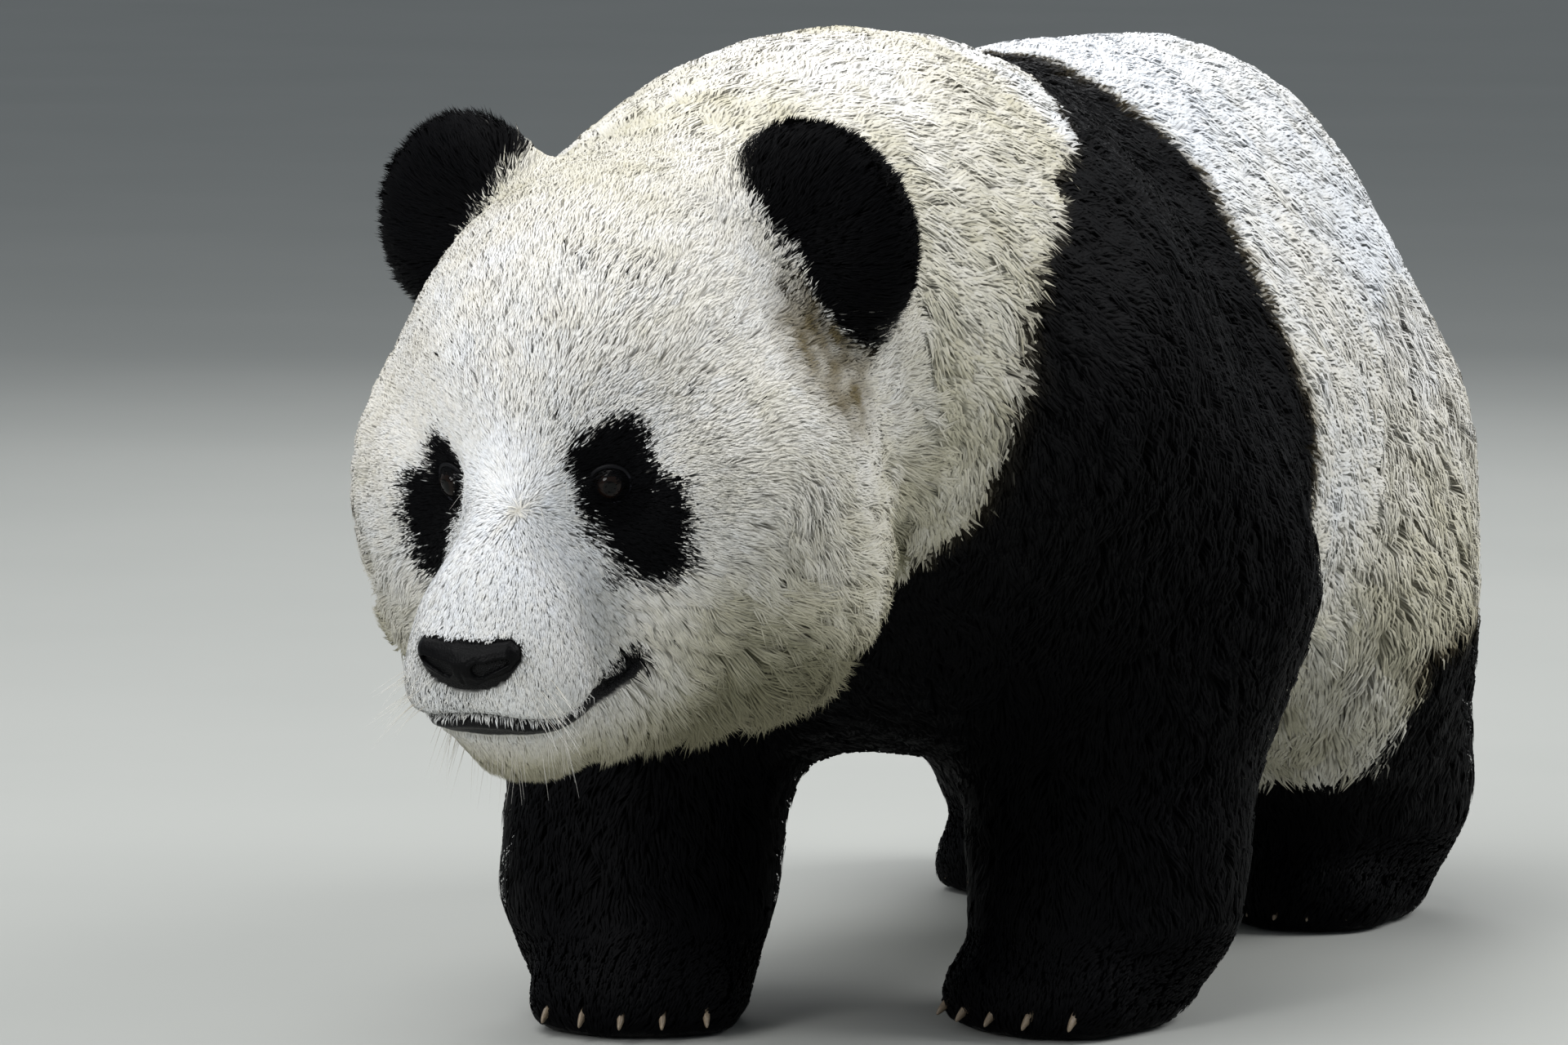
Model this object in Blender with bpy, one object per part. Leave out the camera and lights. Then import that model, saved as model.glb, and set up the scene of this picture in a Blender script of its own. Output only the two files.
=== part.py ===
"""Giant panda walking on all fours, life size. Metres, +Z up; it faces -Y and its left side is +X.

The flesh is one smooth body blended from named balls and bones, out to the tips of its coat, then
parted where a person would name the parts. Each part is closed, with a gap of 0.3 mm to the next.
"""

import math

import bmesh
import bpy
import numpy as np
from mathutils import Matrix, Vector

for old in list(bpy.data.objects):
    bpy.data.objects.remove(old, do_unlink=True)

# ---------------------------------------------------------------- named sizes, metres and degrees
GAP = 0.0003
HEAD_AT = (-0.015, -0.640, 0.486)  # middle of the skull
HEAD_PITCH = 20.0  # nose down
HEAD_YAW = 1.0  # towards its right
HEAD_ROLL = 0.0

EYE_X, EYE_Z, EYE_TILT = 0.0585, -0.0035, 0.0015  # in the head's own frame; the left one sits higher
EYE_RADIUS = 0.0145
EYE_PROUD = 0.0065
EAR_AT = np.array((0.134, 0.084, 0.091))
NOSE_TIP = (0.0, -0.2535, -0.0785)
NOSE_WIDTH, NOSE_HEIGHT = 0.080, 0.035

BLEND_HEAD, BLEND_BODY, BLEND_PAW = 0.012, 0.030, 0.008
CELL_BODY, CELL_HEAD, CELL_PAW, CELL_NOSE = 0.018, 0.0105, 0.0095, 0.0036
MOUTH_FRONT_Z, MOUTH_CORNER_Y, MOUTH_CORNER_Z = -0.124, -0.146, -0.104
CLAW_BEND = 42.0
WRIST_Z, ELBOW_Z, KNEE_Z, THROAT_Z = 0.085, 0.275, 0.215, 0.240
MARKS = {"white": "#E6E0D2", "black": "#121114", "eye": "#140D09", "nose": "#1B1A1C", "claw": "#7A6B57"}


# ---------------------------------------------------------------- distance to simple forms
def turn_of(pitch=0.0, yaw=0.0, roll=0.0):
    """Rotation in degrees: nose-down pitch about X, then roll about Y, then yaw about Z."""
    pitch, yaw, roll = (math.radians(v) for v in (pitch, yaw, roll))
    made = Matrix.Rotation(-yaw, 3, "Z") @ Matrix.Rotation(roll, 3, "Y") @ Matrix.Rotation(pitch, 3, "X")
    return np.array(made)


def ball(at, radii, turn=None):
    """Ellipsoid with its middle, its three radii and an optional rotation."""
    at, radii = np.array(at), np.array(radii)

    def distance(p):
        q = p - at
        if turn is not None:
            q = q @ turn
        near = np.sqrt(((q / radii) ** 2).sum(axis=1)) + 1e-9
        slope = np.sqrt(((q / radii**2) ** 2).sum(axis=1)) + 1e-9
        return near * (near - 1.0) / slope

    return distance


def bone(a, b, ra, rb, squash=(1.0, 1.0, 1.0)):
    """Tapered limb from a to b; squash widens or narrows it along the axes."""
    a, b, squash = np.array(a), np.array(b), np.array(squash)
    run = (b - a) / squash

    def distance(p):
        q = (p - a) / squash
        t = np.clip(q @ run / (run @ run), 0.0, 1.0)
        return (np.linalg.norm(q - t[:, None] * run, axis=1) - (ra + t * (rb - ra))) * squash.min()

    return distance


def blended(forms, soft):
    """Union of forms whose creases fill over the distance soft."""

    def distance(p):
        all_of = np.stack([form(p) for form in forms])
        least = all_of.min(axis=0)
        return least - soft * np.log(np.exp(-(all_of - least) / soft).sum(axis=0))

    return distance


def hollowed(form, hollow, soft):
    """Form with a soft-edged hollow taken out of it."""

    def distance(p):
        a, b = form(p), -hollow(p)
        most = np.maximum(a, b)
        return most + soft * np.log(np.exp((a - most) / soft) + np.exp((b - most) / soft))

    return distance


def in_head(form):
    """A form given in the head's own frame, placed in the world."""
    return lambda p: form((p - np.array(HEAD_AT)) @ HEAD_TURN)


def sides(make):
    """The same form on its right and on its left."""
    return [make(-1.0), make(1.0)]


HEAD_TURN = turn_of(HEAD_PITCH, HEAD_YAW, HEAD_ROLL)


# ---------------------------------------------------------------- the head, in its own frame
def ear(s):
    turn = turn_of(-12, -s * 12, -s * 25)
    disc = ball(EAR_AT * (s, 1, 1), (0.066, 0.028, 0.078), turn)
    bowl = ball(EAR_AT * (s, 1, 1) + turn @ np.array((0, -0.036, 0.002)), (0.037, 0.019, 0.043), turn)
    return hollowed(disc, bowl, 0.007)


def head_forms():
    forms = [
        ball((0, 0.015, 0.012), (0.143, 0.150, 0.138)),  # skull
        ball((0, -0.066, 0.030), (0.090, 0.066, 0.072)),  # forehead
        bone((0, -0.106, 0.014), (0, -0.166, -0.046), 0.042, 0.044, (1.04, 1, 1)),  # bridge
        bone((0, -0.120, -0.040), (0, -0.192, -0.060), 0.050, 0.046, (1.10, 1, 1)),  # top of the muzzle
        bone((0, -0.095, -0.062), (0, -0.211, -0.083), 0.072, 0.047, (1.10, 1, 1)),  # muzzle
        bone((0, -0.085, -0.132), (0, -0.196, -0.156), 0.064, 0.033, (1.30, 1, 1)),  # lower jaw
        ball((0, -0.020, -0.115), (0.125, 0.135, 0.095)),  # throat
    ]
    forms += sides(lambda s: ball((s * 0.088, -0.020, -0.056), (0.094, 0.118, 0.112)))  # cheek
    forms += sides(lambda s: ball((s * 0.084, -0.010, -0.132), (0.098, 0.114, 0.088)))  # ruff
    forms += sides(lambda s: bone((s * 0.040, -0.150, -0.150), (s * 0.085, -0.040, -0.172),
                                  0.040, 0.046))  # jaw
    forms += sides(lambda s: ball((s * 0.064, -0.104, -0.092), (0.050, 0.048, 0.046)))  # cheek front
    forms += sides(lambda s: ball((s * 0.029, -0.222, -0.108), (0.034, 0.034, 0.030)))  # upper lip
    return forms


def eye_hollow(s):
    """The eye's socket and, below it, the fold between the muzzle and the cheek."""
    return blended([
        ball((s * 0.068, -0.186, -0.010), (0.031, 0.037, 0.032)),
        bone((s * 0.080, -0.180, -0.036), (s * 0.092, -0.177, -0.088), 0.026, 0.024),
    ], 0.006)


# ---------------------------------------------------------------- the body
def leg_forms(joints, radii, squash):
    return [bone(joints[i], joints[i + 1], radii[i], radii[i + 1], squash) for i in range(len(joints) - 1)]


LEGS = {
    # name: joints from the trunk to the ankle, then the paw's middle and its turn towards its right
    "fore_left": dict(
        joints=[(0.140, -0.250, 0.440), (0.170, -0.128, 0.312), (0.160, -0.170, 0.095)],
        paw=(0.152, -0.210, 0.030), yaw=16.0,
    ),
    "fore_right": dict(
        joints=[(-0.140, -0.260, 0.440), (-0.174, -0.228, 0.312), (-0.158, -0.288, 0.095)],
        paw=(-0.134, -0.328, 0.030), yaw=-14.0,
    ),
    "hind_left": dict(
        joints=[(0.120, 0.360, 0.360), (0.150, 0.290, 0.240), (0.140, 0.400, 0.100)],
        paw=(0.140, 0.355, 0.028), yaw=4.0,
    ),
    "hind_right": dict(
        joints=[(-0.120, 0.380, 0.360), (-0.150, 0.360, 0.240), (-0.140, 0.480, 0.100)],
        paw=(-0.140, 0.435, 0.028), yaw=-4.0,
    ),
}
FORE_RADII, FORE_SQUASH = (0.112, 0.108, 0.080), (1.0, 1.0, 1.0)
FORE_PAW, HIND_PAW = (0.076, 0.066, 0.044), (0.090, 0.056, 0.042)
HIND_RADII, HIND_SQUASH = (0.118, 0.104, 0.072), (0.98, 1.05, 1.0)


def paw_forms(name):
    leg = LEGS[name]
    fore = name.startswith("fore")
    turn = turn_of(0, leg["yaw"], 0)
    at = np.array(leg["paw"])
    length, width, high = FORE_PAW if fore else HIND_PAW
    forms = [ball(at, (width, length, high), turn)]
    for i in range(5):
        across = (i - 2) / 2.0
        tip = np.array((across * width * 0.80, -length * (0.86 - 0.26 * across**2), -0.006))
        forms.append(ball(at + turn @ tip, (0.021, 0.030, 0.023), turn))
    return forms


def body_forms():
    forms = [
        ball((0, -0.470, 0.520), (0.165, 0.170, 0.158)),  # nape
        ball((0, -0.350, 0.500), (0.195, 0.180, 0.196)),  # neck
        ball((0, -0.240, 0.560), (0.150, 0.200, 0.145)),  # withers
        ball((0, -0.210, 0.430), (0.205, 0.240, 0.225)),  # chest
        ball((0, 0.075, 0.395), (0.243, 0.310, 0.232)),  # barrel
        ball((0, 0.100, 0.550), (0.140, 0.340, 0.140)),  # back
        ball((0, 0.325, 0.450), (0.168, 0.225, 0.222)),  # rump
    ]
    forms += sides(lambda s: ball((s * 0.132, -0.215, 0.440), (0.082, 0.150, 0.180)))  # shoulder
    forms += sides(lambda s: ball((s * 0.100, 0.340, 0.320), (0.092, 0.180, 0.205)))  # haunch
    forms.append(bone((0, 0.520, 0.430), (0, 0.585, 0.350), 0.046, 0.034, (1.2, 1, 1)))  # tail
    for name, leg in LEGS.items():
        fore = name.startswith("fore")
        radii, squash = (FORE_RADII, FORE_SQUASH) if fore else (HIND_RADII, HIND_SQUASH)
        forms += leg_forms(leg["joints"], radii, squash)
        ankle, paw = leg["joints"][-1], leg["paw"]
        forms.append(bone(ankle, (paw[0], paw[1], 0.040), radii[-1], radii[-1] * 0.72, squash))
    return forms


def whole():
    """Distance to the whole animal's coat."""
    head = blended([in_head(form) for form in head_forms()], BLEND_HEAD)
    head = hollowed(head, blended([in_head(eye_hollow(-1.0)), in_head(eye_hollow(1.0))], 0.002), 0.014)
    head = blended([head] + sides(lambda s: in_head(ear(s))), 0.006)
    body = blended(body_forms(), BLEND_BODY)
    paws = blended([form for name in LEGS for form in paw_forms(name)], BLEND_PAW)
    return blended([head, blended([body, paws], 0.012)], 0.020)


# ---------------------------------------------------------------- from a field to a mesh


def closed_box(value, cell):
    for axis in range(3):
        edge = np.moveaxis(value, axis, 0)
        edge[0] = np.maximum(edge[0], cell * 0.5)
        edge[-1] = np.maximum(edge[-1], cell * 0.5)


def surface(field, low, high, cell, steps=3):
    """Points and quads of the surface of field inside the box from low to high."""
    low = np.array(low, float)
    count = np.ceil((np.array(high) - low) / cell).astype(int) + 1
    axes = [low[i] + cell * np.arange(count[i]) for i in range(3)]
    grid = np.stack(np.meshgrid(*axes, indexing="ij"), axis=-1)
    value = np.concatenate([field(grid[i].reshape(-1, 3)) for i in range(count[0])]).reshape(count)
    closed_box(value, cell)
    inside = value < 0

    def shifted(array, offset):
        i, j, k = offset
        return array[i : i + count[0] - 1, j : j + count[1] - 1, k : k + count[2] - 1]

    corners = [(i, j, k) for i in (0, 1) for j in (0, 1) for k in (0, 1)]
    total = sum(shifted(inside, c).astype(int) for c in corners)
    active = (total > 0) & (total < 8)
    index = np.full(active.shape, -1)
    index[active] = np.arange(active.sum())
    place, crossed = np.zeros((active.sum(), 3)), np.zeros(active.sum())
    for a in corners:
        for axis in range(3):
            if a[axis]:
                continue
            b = tuple(a[i] + (i == axis) for i in range(3))
            va, vb = shifted(value, a)[active], shifted(value, b)[active]
            cut = (va < 0) != (vb < 0)
            t = va[cut] / (va[cut] - vb[cut])
            pa, pb = shifted(grid, a)[active][cut], shifted(grid, b)[active][cut]
            place[cut] += pa + t[:, None] * (pb - pa)
            crossed[cut] += 1
    place /= crossed[:, None]

    quads = []
    for axis in range(3):
        u, v = (axis + 1) % 3, (axis + 2) % 3
        span = [slice(1, count[i] - 1) for i in range(3)]
        span[axis] = slice(0, count[axis] - 1)
        after = list(span)
        after[axis] = slice(1, count[axis])
        first, second = inside[tuple(span)], inside[tuple(after)]
        crossing = np.argwhere(first != second)
        start = crossing + [0 if i == axis else 1 for i in range(3)]
        ring = []
        for du, dv in ((0, 0), (-1, 0), (-1, -1), (0, -1)):
            at = start.copy()
            at[:, u] += du
            at[:, v] += dv
            ring.append(index[at[:, 0], at[:, 1], at[:, 2]])
        ring = np.stack(ring, axis=1)
        outward = first[first != second]
        quads.append(np.where(outward[:, None], ring, ring[:, ::-1]))
    quads = np.concatenate(quads)

    edges = np.concatenate([quads[:, [0, 1]], quads[:, [1, 2]], quads[:, [2, 3]], quads[:, [3, 0]]])
    low_in, high_in = low + 1.2 * cell, axes_end(axes) - 1.2 * cell
    for step in range(steps):
        mean, near = np.zeros_like(place), np.zeros(len(place))
        np.add.at(mean, edges[:, 0], place[edges[:, 1]])
        np.add.at(near, edges[:, 0], 1)
        relaxed = mean / near[:, None]
        free = ((place > low_in) & (place < high_in)).all(axis=1)
        place[free] = to_surface(field, 0.5 * (place[free] + relaxed[free]), cell)
    return place, quads


def axes_end(axes):
    return np.array([axis[-1] for axis in axes])


def slope(field, p, step=0.0008):
    out = np.zeros_like(p)
    for i in range(3):
        move = np.zeros(3)
        move[i] = step
        out[:, i] = (field(p + move) - field(p - move)) / (2 * step)
    return out


def to_surface(field, p, reach):
    for _ in range(2):
        g = slope(field, p)
        step = field(p) / np.maximum((g * g).sum(axis=1), 0.2)
        p = p - np.clip(step, -reach, reach)[:, None] * g
    return p


# ---------------------------------------------------------------- Blender objects
def object_from(name, points, faces):
    mesh = bpy.data.meshes.new(name)
    mesh.from_pydata([tuple(p) for p in points], [], [tuple(int(i) for i in f) for f in faces])
    mesh.validate()
    made = bpy.data.objects.new(name, mesh)
    bpy.context.scene.collection.objects.link(made)
    return made


def evaluated(obj):
    """The object's mesh after its modifiers, which are then gone."""
    graph = bpy.context.evaluated_depsgraph_get()
    graph.update()
    mesh = bpy.data.meshes.new_from_object(obj.evaluated_get(graph))
    obj.modifiers.clear()
    old, obj.data = obj.data, mesh
    bpy.data.meshes.remove(old)
    return obj


def fewer(obj, triangles):
    """Collapses flat areas until about this many triangles are left."""
    now = sum(len(p.vertices) - 2 for p in obj.data.polygons)
    reduce = obj.modifiers.new("fewer", "DECIMATE")
    reduce.ratio = min(1.0, triangles / now)
    return evaluated(obj)


def copy_of(obj, name):
    made = bpy.data.objects.new(name, obj.data.copy())
    bpy.context.scene.collection.objects.link(made)
    return made


def boolean(obj, cutter, operation, keep_cutter=False):
    step = obj.modifiers.new(operation.lower(), "BOOLEAN")
    step.operation, step.solver, step.object = operation, "EXACT", cutter
    evaluated(obj)
    if not keep_cutter:
        bpy.data.objects.remove(cutter, do_unlink=True)
    return obj


def side_of(at, normal, name="side"):
    """A box of 3 m whose lower face passes through at, on the side that normal points to."""
    normal = Vector(normal).normalized()
    made = object_from(name, *box_faces(3.0, 3.0, 3.0))
    turn = normal.to_track_quat("Z", "Y").to_matrix().to_4x4()
    made.data.transform(Matrix.Translation(Vector(at) + normal * 1.5) @ turn)
    return made


def box_faces(x, y, z):
    points = [(i * x / 2, j * y / 2, k * z / 2) for i in (-1, 1) for j in (-1, 1) for k in (-1, 1)]
    faces = [(0, 1, 3, 2), (4, 6, 7, 5), (0, 4, 5, 1), (2, 3, 7, 6), (0, 2, 6, 4), (1, 5, 7, 3)]
    return points, faces


def parted(obj, at, normal, front_name, back_name):
    """Cuts obj at a plane into the part that normal points to and the part behind it."""
    normal = np.array(normal) / np.linalg.norm(normal)
    front = copy_of(obj, front_name)
    boolean(front, side_of(np.array(at) + normal * GAP / 2, normal), "INTERSECT")
    boolean(obj, side_of(np.array(at) - normal * GAP / 2, -normal), "INTERSECT")
    obj.name = obj.data.name = back_name
    front.data.name = front_name
    return front, obj


def prism(profile, near, far, name="cell"):
    """Closed bar over a profile of (y, z) points, from x = near(y, z) to x = far."""
    n = len(profile)
    points = [(near(y, z), y, z) for y, z in profile] + [(far, y, z) for y, z in profile]
    faces = [tuple(range(n)), tuple(range(2 * n - 1, n - 1, -1))]
    faces += [(i, i + n, (i + 1) % n + n, (i + 1) % n) for i in range(n)]
    made = object_from(name, points, faces)
    return facing_out(made)


def facing_out(obj):
    net = bmesh.new()
    net.from_mesh(obj.data)
    bmesh.ops.recalc_face_normals(net, faces=net.faces)
    net.to_mesh(obj.data)
    net.free()
    return obj


def taken(obj, make_cell, name):
    """Takes the part of obj inside a cell away as its own object; make_cell gets how far to grow."""
    part = copy_of(obj, name)
    part.data.name = name
    boolean(part, make_cell(-GAP / 2), "INTERSECT")
    boolean(obj, make_cell(GAP / 2), "DIFFERENCE")
    return part


def leg_cell(s, middle, half, top, ankle, low, high):
    """Arch-topped bar outside the slanted plane through low and high, both (x, z), down to the ankle."""

    def make(grow):
        wide, tall = half + grow, top - 0.28 + grow
        arc = [math.radians(a) for a in range(0, 181, 15)]
        profile = [(middle + wide * math.cos(a), 0.28 + tall * math.sin(a)) for a in arc]
        profile += [(ankle - 0.18 - grow, 0.0), (ankle + 0.18 + grow, 0.0)]
        lean = (high[0] - low[0]) / (high[1] - low[1])
        inner = lambda y, z: s * (low[0] - grow + (z - low[1]) * lean)
        return prism(profile, inner, s * 0.6)

    return make


def box_cell(at, size, turn):
    """Box about at, turned by a 3 x 3 rotation."""

    def make(grow):
        made = object_from("cell", *box_faces(*(v + 2 * grow for v in size)))
        made.data.transform(Matrix.Translation(Vector(at)) @ Matrix(turn.tolist()).to_4x4())
        return facing_out(made)

    return make


def ball_cell(at, radii, turn):
    """Ellipsoid about at, turned by a 3 x 3 rotation."""

    def make(grow):
        made = globe("cell", (0, 0, 0), 1.0, 14, 20)
        grown = Matrix.Diagonal((*(r + grow for r in radii), 1.0))
        made.data.transform(Matrix.Translation(Vector(at)) @ Matrix(turn.tolist()).to_4x4() @ grown)
        return facing_out(made)

    return make


def placed(local):
    """A point of the head's own frame in the world."""
    return np.array(HEAD_AT) + HEAD_TURN @ np.array(local)


def jaw_cell(grow):
    """Below the mouth line and in front of the throat, in the head's frame; the lips stand open in front."""
    lips = 0.0045 if grow < 0 else 0.0
    profile = [
        (-0.320, MOUTH_FRONT_Z - lips), (-0.215, MOUTH_FRONT_Z - lips),
        (MOUTH_CORNER_Y, MOUTH_CORNER_Z), (-0.060, MOUTH_CORNER_Z - 0.006),
        (-0.035, -0.200), (-0.035, -0.300), (-0.320, -0.300),
    ]
    middle = (-0.15, -0.20)
    profile = [(y + grow * np.sign(y - middle[0]), z + grow * np.sign(z - middle[1])) for y, z in profile]
    made = prism(profile, lambda y, z: -0.3, 0.3)
    made.data.transform(Matrix.Translation(HEAD_AT) @ Matrix(HEAD_TURN.tolist()).to_4x4())
    return facing_out(made)


def mesh_of(name, field, low, high, cell, triangles):
    made = fewer(object_from(name, *surface(field, low, high, cell)), triangles)
    return facing_out(tidied(made, cell * 0.12))


def tidied(obj, least):
    """Joins points nearer than least and drops the faces that folded onto each other there."""
    net = bmesh.new()
    net.from_mesh(obj.data)
    bmesh.ops.remove_doubles(net, verts=net.verts, dist=least)
    bmesh.ops.triangulate(net, faces=net.faces)
    net.to_mesh(obj.data)
    net.free()
    return obj


def globe(name, at, radius, rings=7, around=11):
    net = bmesh.new()
    bmesh.ops.create_uvsphere(net, u_segments=around, v_segments=rings, radius=radius)
    bmesh.ops.translate(net, verts=net.verts, vec=Vector(at))
    mesh = bpy.data.meshes.new(name)
    net.to_mesh(mesh)
    net.free()
    made = bpy.data.objects.new(name, mesh)
    bpy.context.scene.collection.objects.link(made)
    return made


def nose_field(grow=0.0):
    """The bare nose pad with its two comma-shaped nostrils, in the head's frame."""
    tip = np.array(NOSE_TIP)
    wide, tall = NOSE_WIDTH / 2, NOSE_HEIGHT / 2
    pad = blended([
        bone(tip + (-wide * 0.70, 0.002, tall * 0.42), tip + (wide * 0.70, 0.002, tall * 0.42),
             0.0098, 0.0098),
        ball(tip + (0, 0.000, tall * 0.10), (wide * 0.82, 0.0165, tall * 0.80)),
        ball(tip + (0, 0.002, -tall * 0.46), (wide * 0.44, 0.0145, tall * 0.52)),
    ], 0.0022)
    if grow:
        return lambda p: pad(p) - grow
    holes = sides(lambda s: blended([
        bone(tip + (s * 0.0115, -0.022, 0.0000), tip + (s * 0.0125, -0.002, 0.0010), 0.0050, 0.0038),
        bone(tip + (s * 0.0140, -0.018, 0.0010), tip + (s * 0.0270, -0.0140, 0.0040), 0.0038, 0.0026),
    ], 0.001))
    return hollowed(pad, blended(holes, 0.001), 0.0018)


def claw(name, root, ahead, length, thick, grow=0.0):
    """Curved horn that starts at root, runs ahead and bends down to its point."""
    ahead = np.array(ahead) / np.linalg.norm(ahead)
    across = np.cross(ahead, (0, 0, 1.0))
    across /= np.linalg.norm(across)
    above = np.cross(across, ahead)
    points, around, rings = [], 5, 3
    for i in range(rings):
        t = i / rings
        bend = math.radians(CLAW_BEND) * t
        middle = np.array(root) + ahead * length * math.sin(bend) / math.radians(CLAW_BEND)
        middle -= above * length * (1 - math.cos(bend)) / math.radians(CLAW_BEND)
        lift = above * math.cos(bend) + ahead * math.sin(bend)
        radius = thick * (1.0 - 0.75 * t**1.5) + grow
        for k in range(around):
            a = 2 * math.pi * k / around
            points.append(middle + across * radius * 0.72 * math.cos(a) + lift * radius * math.sin(a))
    bend = math.radians(CLAW_BEND)
    end = np.array(root) + ahead * length * math.sin(bend) / bend
    points.append(end - above * length * (1 - math.cos(bend)) / bend)
    faces = [tuple(range(around))]
    for i in range(rings - 1):
        for k in range(around):
            a, b = i * around + k, i * around + (k + 1) % around
            faces.append((a, b, b + around, a + around))
    last = (rings - 1) * around
    faces += [(last + k, last + (k + 1) % around, len(points) - 1) for k in range(around)]
    return facing_out(object_from(name, points, faces))



field = whole()
head = mesh_of("head", field, (-0.26, -0.94, 0.18), (0.26, -0.32, 0.76), CELL_HEAD, 2060)
body = mesh_of("body", field, (-0.36, -0.72, -0.03), (0.36, 0.72, 0.80), CELL_BODY, 1832)

# the head comes off behind the ears
nape_at, nape_normal = placed((0, 0.128, 0)), HEAD_TURN @ np.array((0, -1.0, 0.0))
boolean(head, side_of(nape_at + nape_normal * GAP / 2, nape_normal), "INTERSECT")
before = side_of(nape_at - nape_normal * GAP / 2, nape_normal, "before")
boolean(before, side_of((0, 0, THROAT_Z), (0, 0, 1)), "INTERSECT")
boolean(body, before, "DIFFERENCE")
boolean(body, side_of((0, 0, WRIST_Z + GAP / 2), (0, 0, 1)), "INTERSECT")

for s, name in ((1.0, "ear_left"), (-1.0, "ear_right")):
    out = np.array((s * 0.868, 0, 0.497))
    turn = np.stack([np.cross((0, 1.0, 0), out), (0, 1.0, 0), out], axis=1)
    at = placed(EAR_AT * (s, 1, 1) + out * 0.045)
    taken(head, ball_cell(at, (0.104, 0.047, 0.078), HEAD_TURN @ turn), name)
taken(head, jaw_cell, "lower_jaw")

# the eyes sit in round sockets
for s, name in ((1.0, "eye_left"), (-1.0, "eye_right")):
    gaze = HEAD_TURN @ (np.array((s * 0.42, -0.90, 0.05)) / np.linalg.norm((0.42, 0.90, 0.05)))
    front = placed((s * EYE_X + 0.0020, -0.30, EYE_Z + s * EYE_TILT))
    inward = HEAD_TURN @ np.array((0, 1.0, 0))
    for _ in range(60):
        front = front + inward * max(float(field(front[None])[0]), 0.0) * 0.8
    middle = front - gaze * (EYE_RADIUS - EYE_PROUD)
    globe(name, middle, EYE_RADIUS)
    boolean(head, globe("socket", middle, EYE_RADIUS + GAP), "DIFFERENCE")

nose_low, nose_high = placed(NOSE_TIP) - 0.055, placed(NOSE_TIP) + 0.055
nose = mesh_of("nose", in_head(nose_field()), nose_low, nose_high, CELL_NOSE / 1.3, 300)
grown = mesh_of("grown", in_head(nose_field(GAP * 4)), nose_low, nose_high, CELL_NOSE / 1.3, 300)
boolean(head, grown, "DIFFERENCE")

# legs, then their joints
for name, leg in LEGS.items():
    fore, s = name.startswith("fore"), 1.0 if name.endswith("left") else -1.0
    where = name.split("_")[1]
    middle = leg["joints"][1][1] * 0.5 + leg["joints"][0][1] * 0.5
    if fore:
        cell = leg_cell(s, middle, 0.165, 0.600, leg["joints"][2][1], (0.045, 0.200), (0.225, 0.600))
    else:
        cell = leg_cell(s, middle + 0.030, 0.175, 0.520, leg["joints"][2][1], (0.040, 0.170), (0.185, 0.520))
    upper, lower = ("upper_foreleg_", "forearm_") if fore else ("thigh_", "shank_")
    part = taken(body, cell, lower + where)
    parted(part, (0, leg["joints"][1][1], ELBOW_Z if fore else KNEE_Z), (0, 0.25 if fore else -0.2, 1),
           upper + where, lower + where)
parted(body, (0, -0.330, 0.500), (0, -0.946, 0.323), "neck", "trunk")
tail_turn = turn_of(-28, 0, 0)
taken(body, box_cell((0, 0.640, 0.350), (0.16, 0.10, 0.22), tail_turn), "tail")

# paws, flat below on the floor, with their claws
for name, leg in LEGS.items():
    fore, where = name.startswith("fore"), name.split("_")[1]
    at = np.array(leg["paw"])
    paw = mesh_of(("forepaw_" if fore else "hindpaw_") + where, field,
                  (at[0] - 0.125, at[1] - 0.15, -0.035), (at[0] + 0.125, at[1] + 0.17, 0.13), CELL_PAW, 235)
    boolean(paw, side_of((0, 0, WRIST_Z - GAP / 2), (0, 0, -1)), "INTERSECT")
    boolean(paw, side_of((0, 0, 0), (0, 0, 1)), "INTERSECT")
    turn = turn_of(0, leg["yaw"], 0)
    reach, width = (FORE_PAW[0], FORE_PAW[1]) if fore else (HIND_PAW[0], HIND_PAW[1])
    length, thick = (0.034, 0.0058) if fore else (0.026, 0.0050)
    for i in range(5):
        across = (i - 2) / 2.0
        tip = np.array((across * width * 0.82, -reach * (0.86 - 0.26 * across**2) - 0.014, -0.006))
        ahead = turn @ np.array((across * 0.25, -1.0, -0.18))
        title = "claw_" + name + "_" + str(i + 1)
        claw(title, at + turn @ tip, ahead, length, thick)
        boolean(paw, claw("socket", at + turn @ tip, ahead, length, thick, GAP), "DIFFERENCE")

# colours, and the middle of the box over the origin
every = [obj for obj in bpy.context.scene.objects]
corners = np.array([tuple(v.co) for obj in every for v in obj.data.vertices])
shift = -0.5 * (corners.min(axis=0) + corners.max(axis=0)) * (1, 1, 0)
BLACK = ("ear", "foreleg", "forearm", "forepaw", "thigh", "shank", "hindpaw")
for obj in every:
    obj.data.transform(Matrix.Translation(shift))
    kind = next((k for k in ("eye", "nose", "claw") if obj.name.startswith(k)), "white")
    if any(word in obj.name for word in BLACK) and kind == "white":
        kind = "black"
    paint = bpy.data.materials.new(obj.name)
    paint.use_nodes = True
    code = MARKS[kind]
    linear = [(int(code[i : i + 2], 16) / 255) ** 2.2 for i in (1, 3, 5)]
    paint.node_tree.nodes["Principled BSDF"].inputs["Base Color"].default_value = (*linear, 1)
    rough = 0.35 if kind in ("eye", "nose") else 0.9
    paint.node_tree.nodes["Principled BSDF"].inputs["Roughness"].default_value = rough
    obj.data.materials.clear()
    obj.data.materials.append(paint)
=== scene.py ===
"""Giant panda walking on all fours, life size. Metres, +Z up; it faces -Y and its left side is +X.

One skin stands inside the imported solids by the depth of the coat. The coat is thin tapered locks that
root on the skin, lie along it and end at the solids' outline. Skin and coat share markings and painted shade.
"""

import math

import bmesh
import bpy
import numpy as np
from mathutils import Matrix, Vector, kdtree
from mathutils.bvhtree import BVHTree


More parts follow.
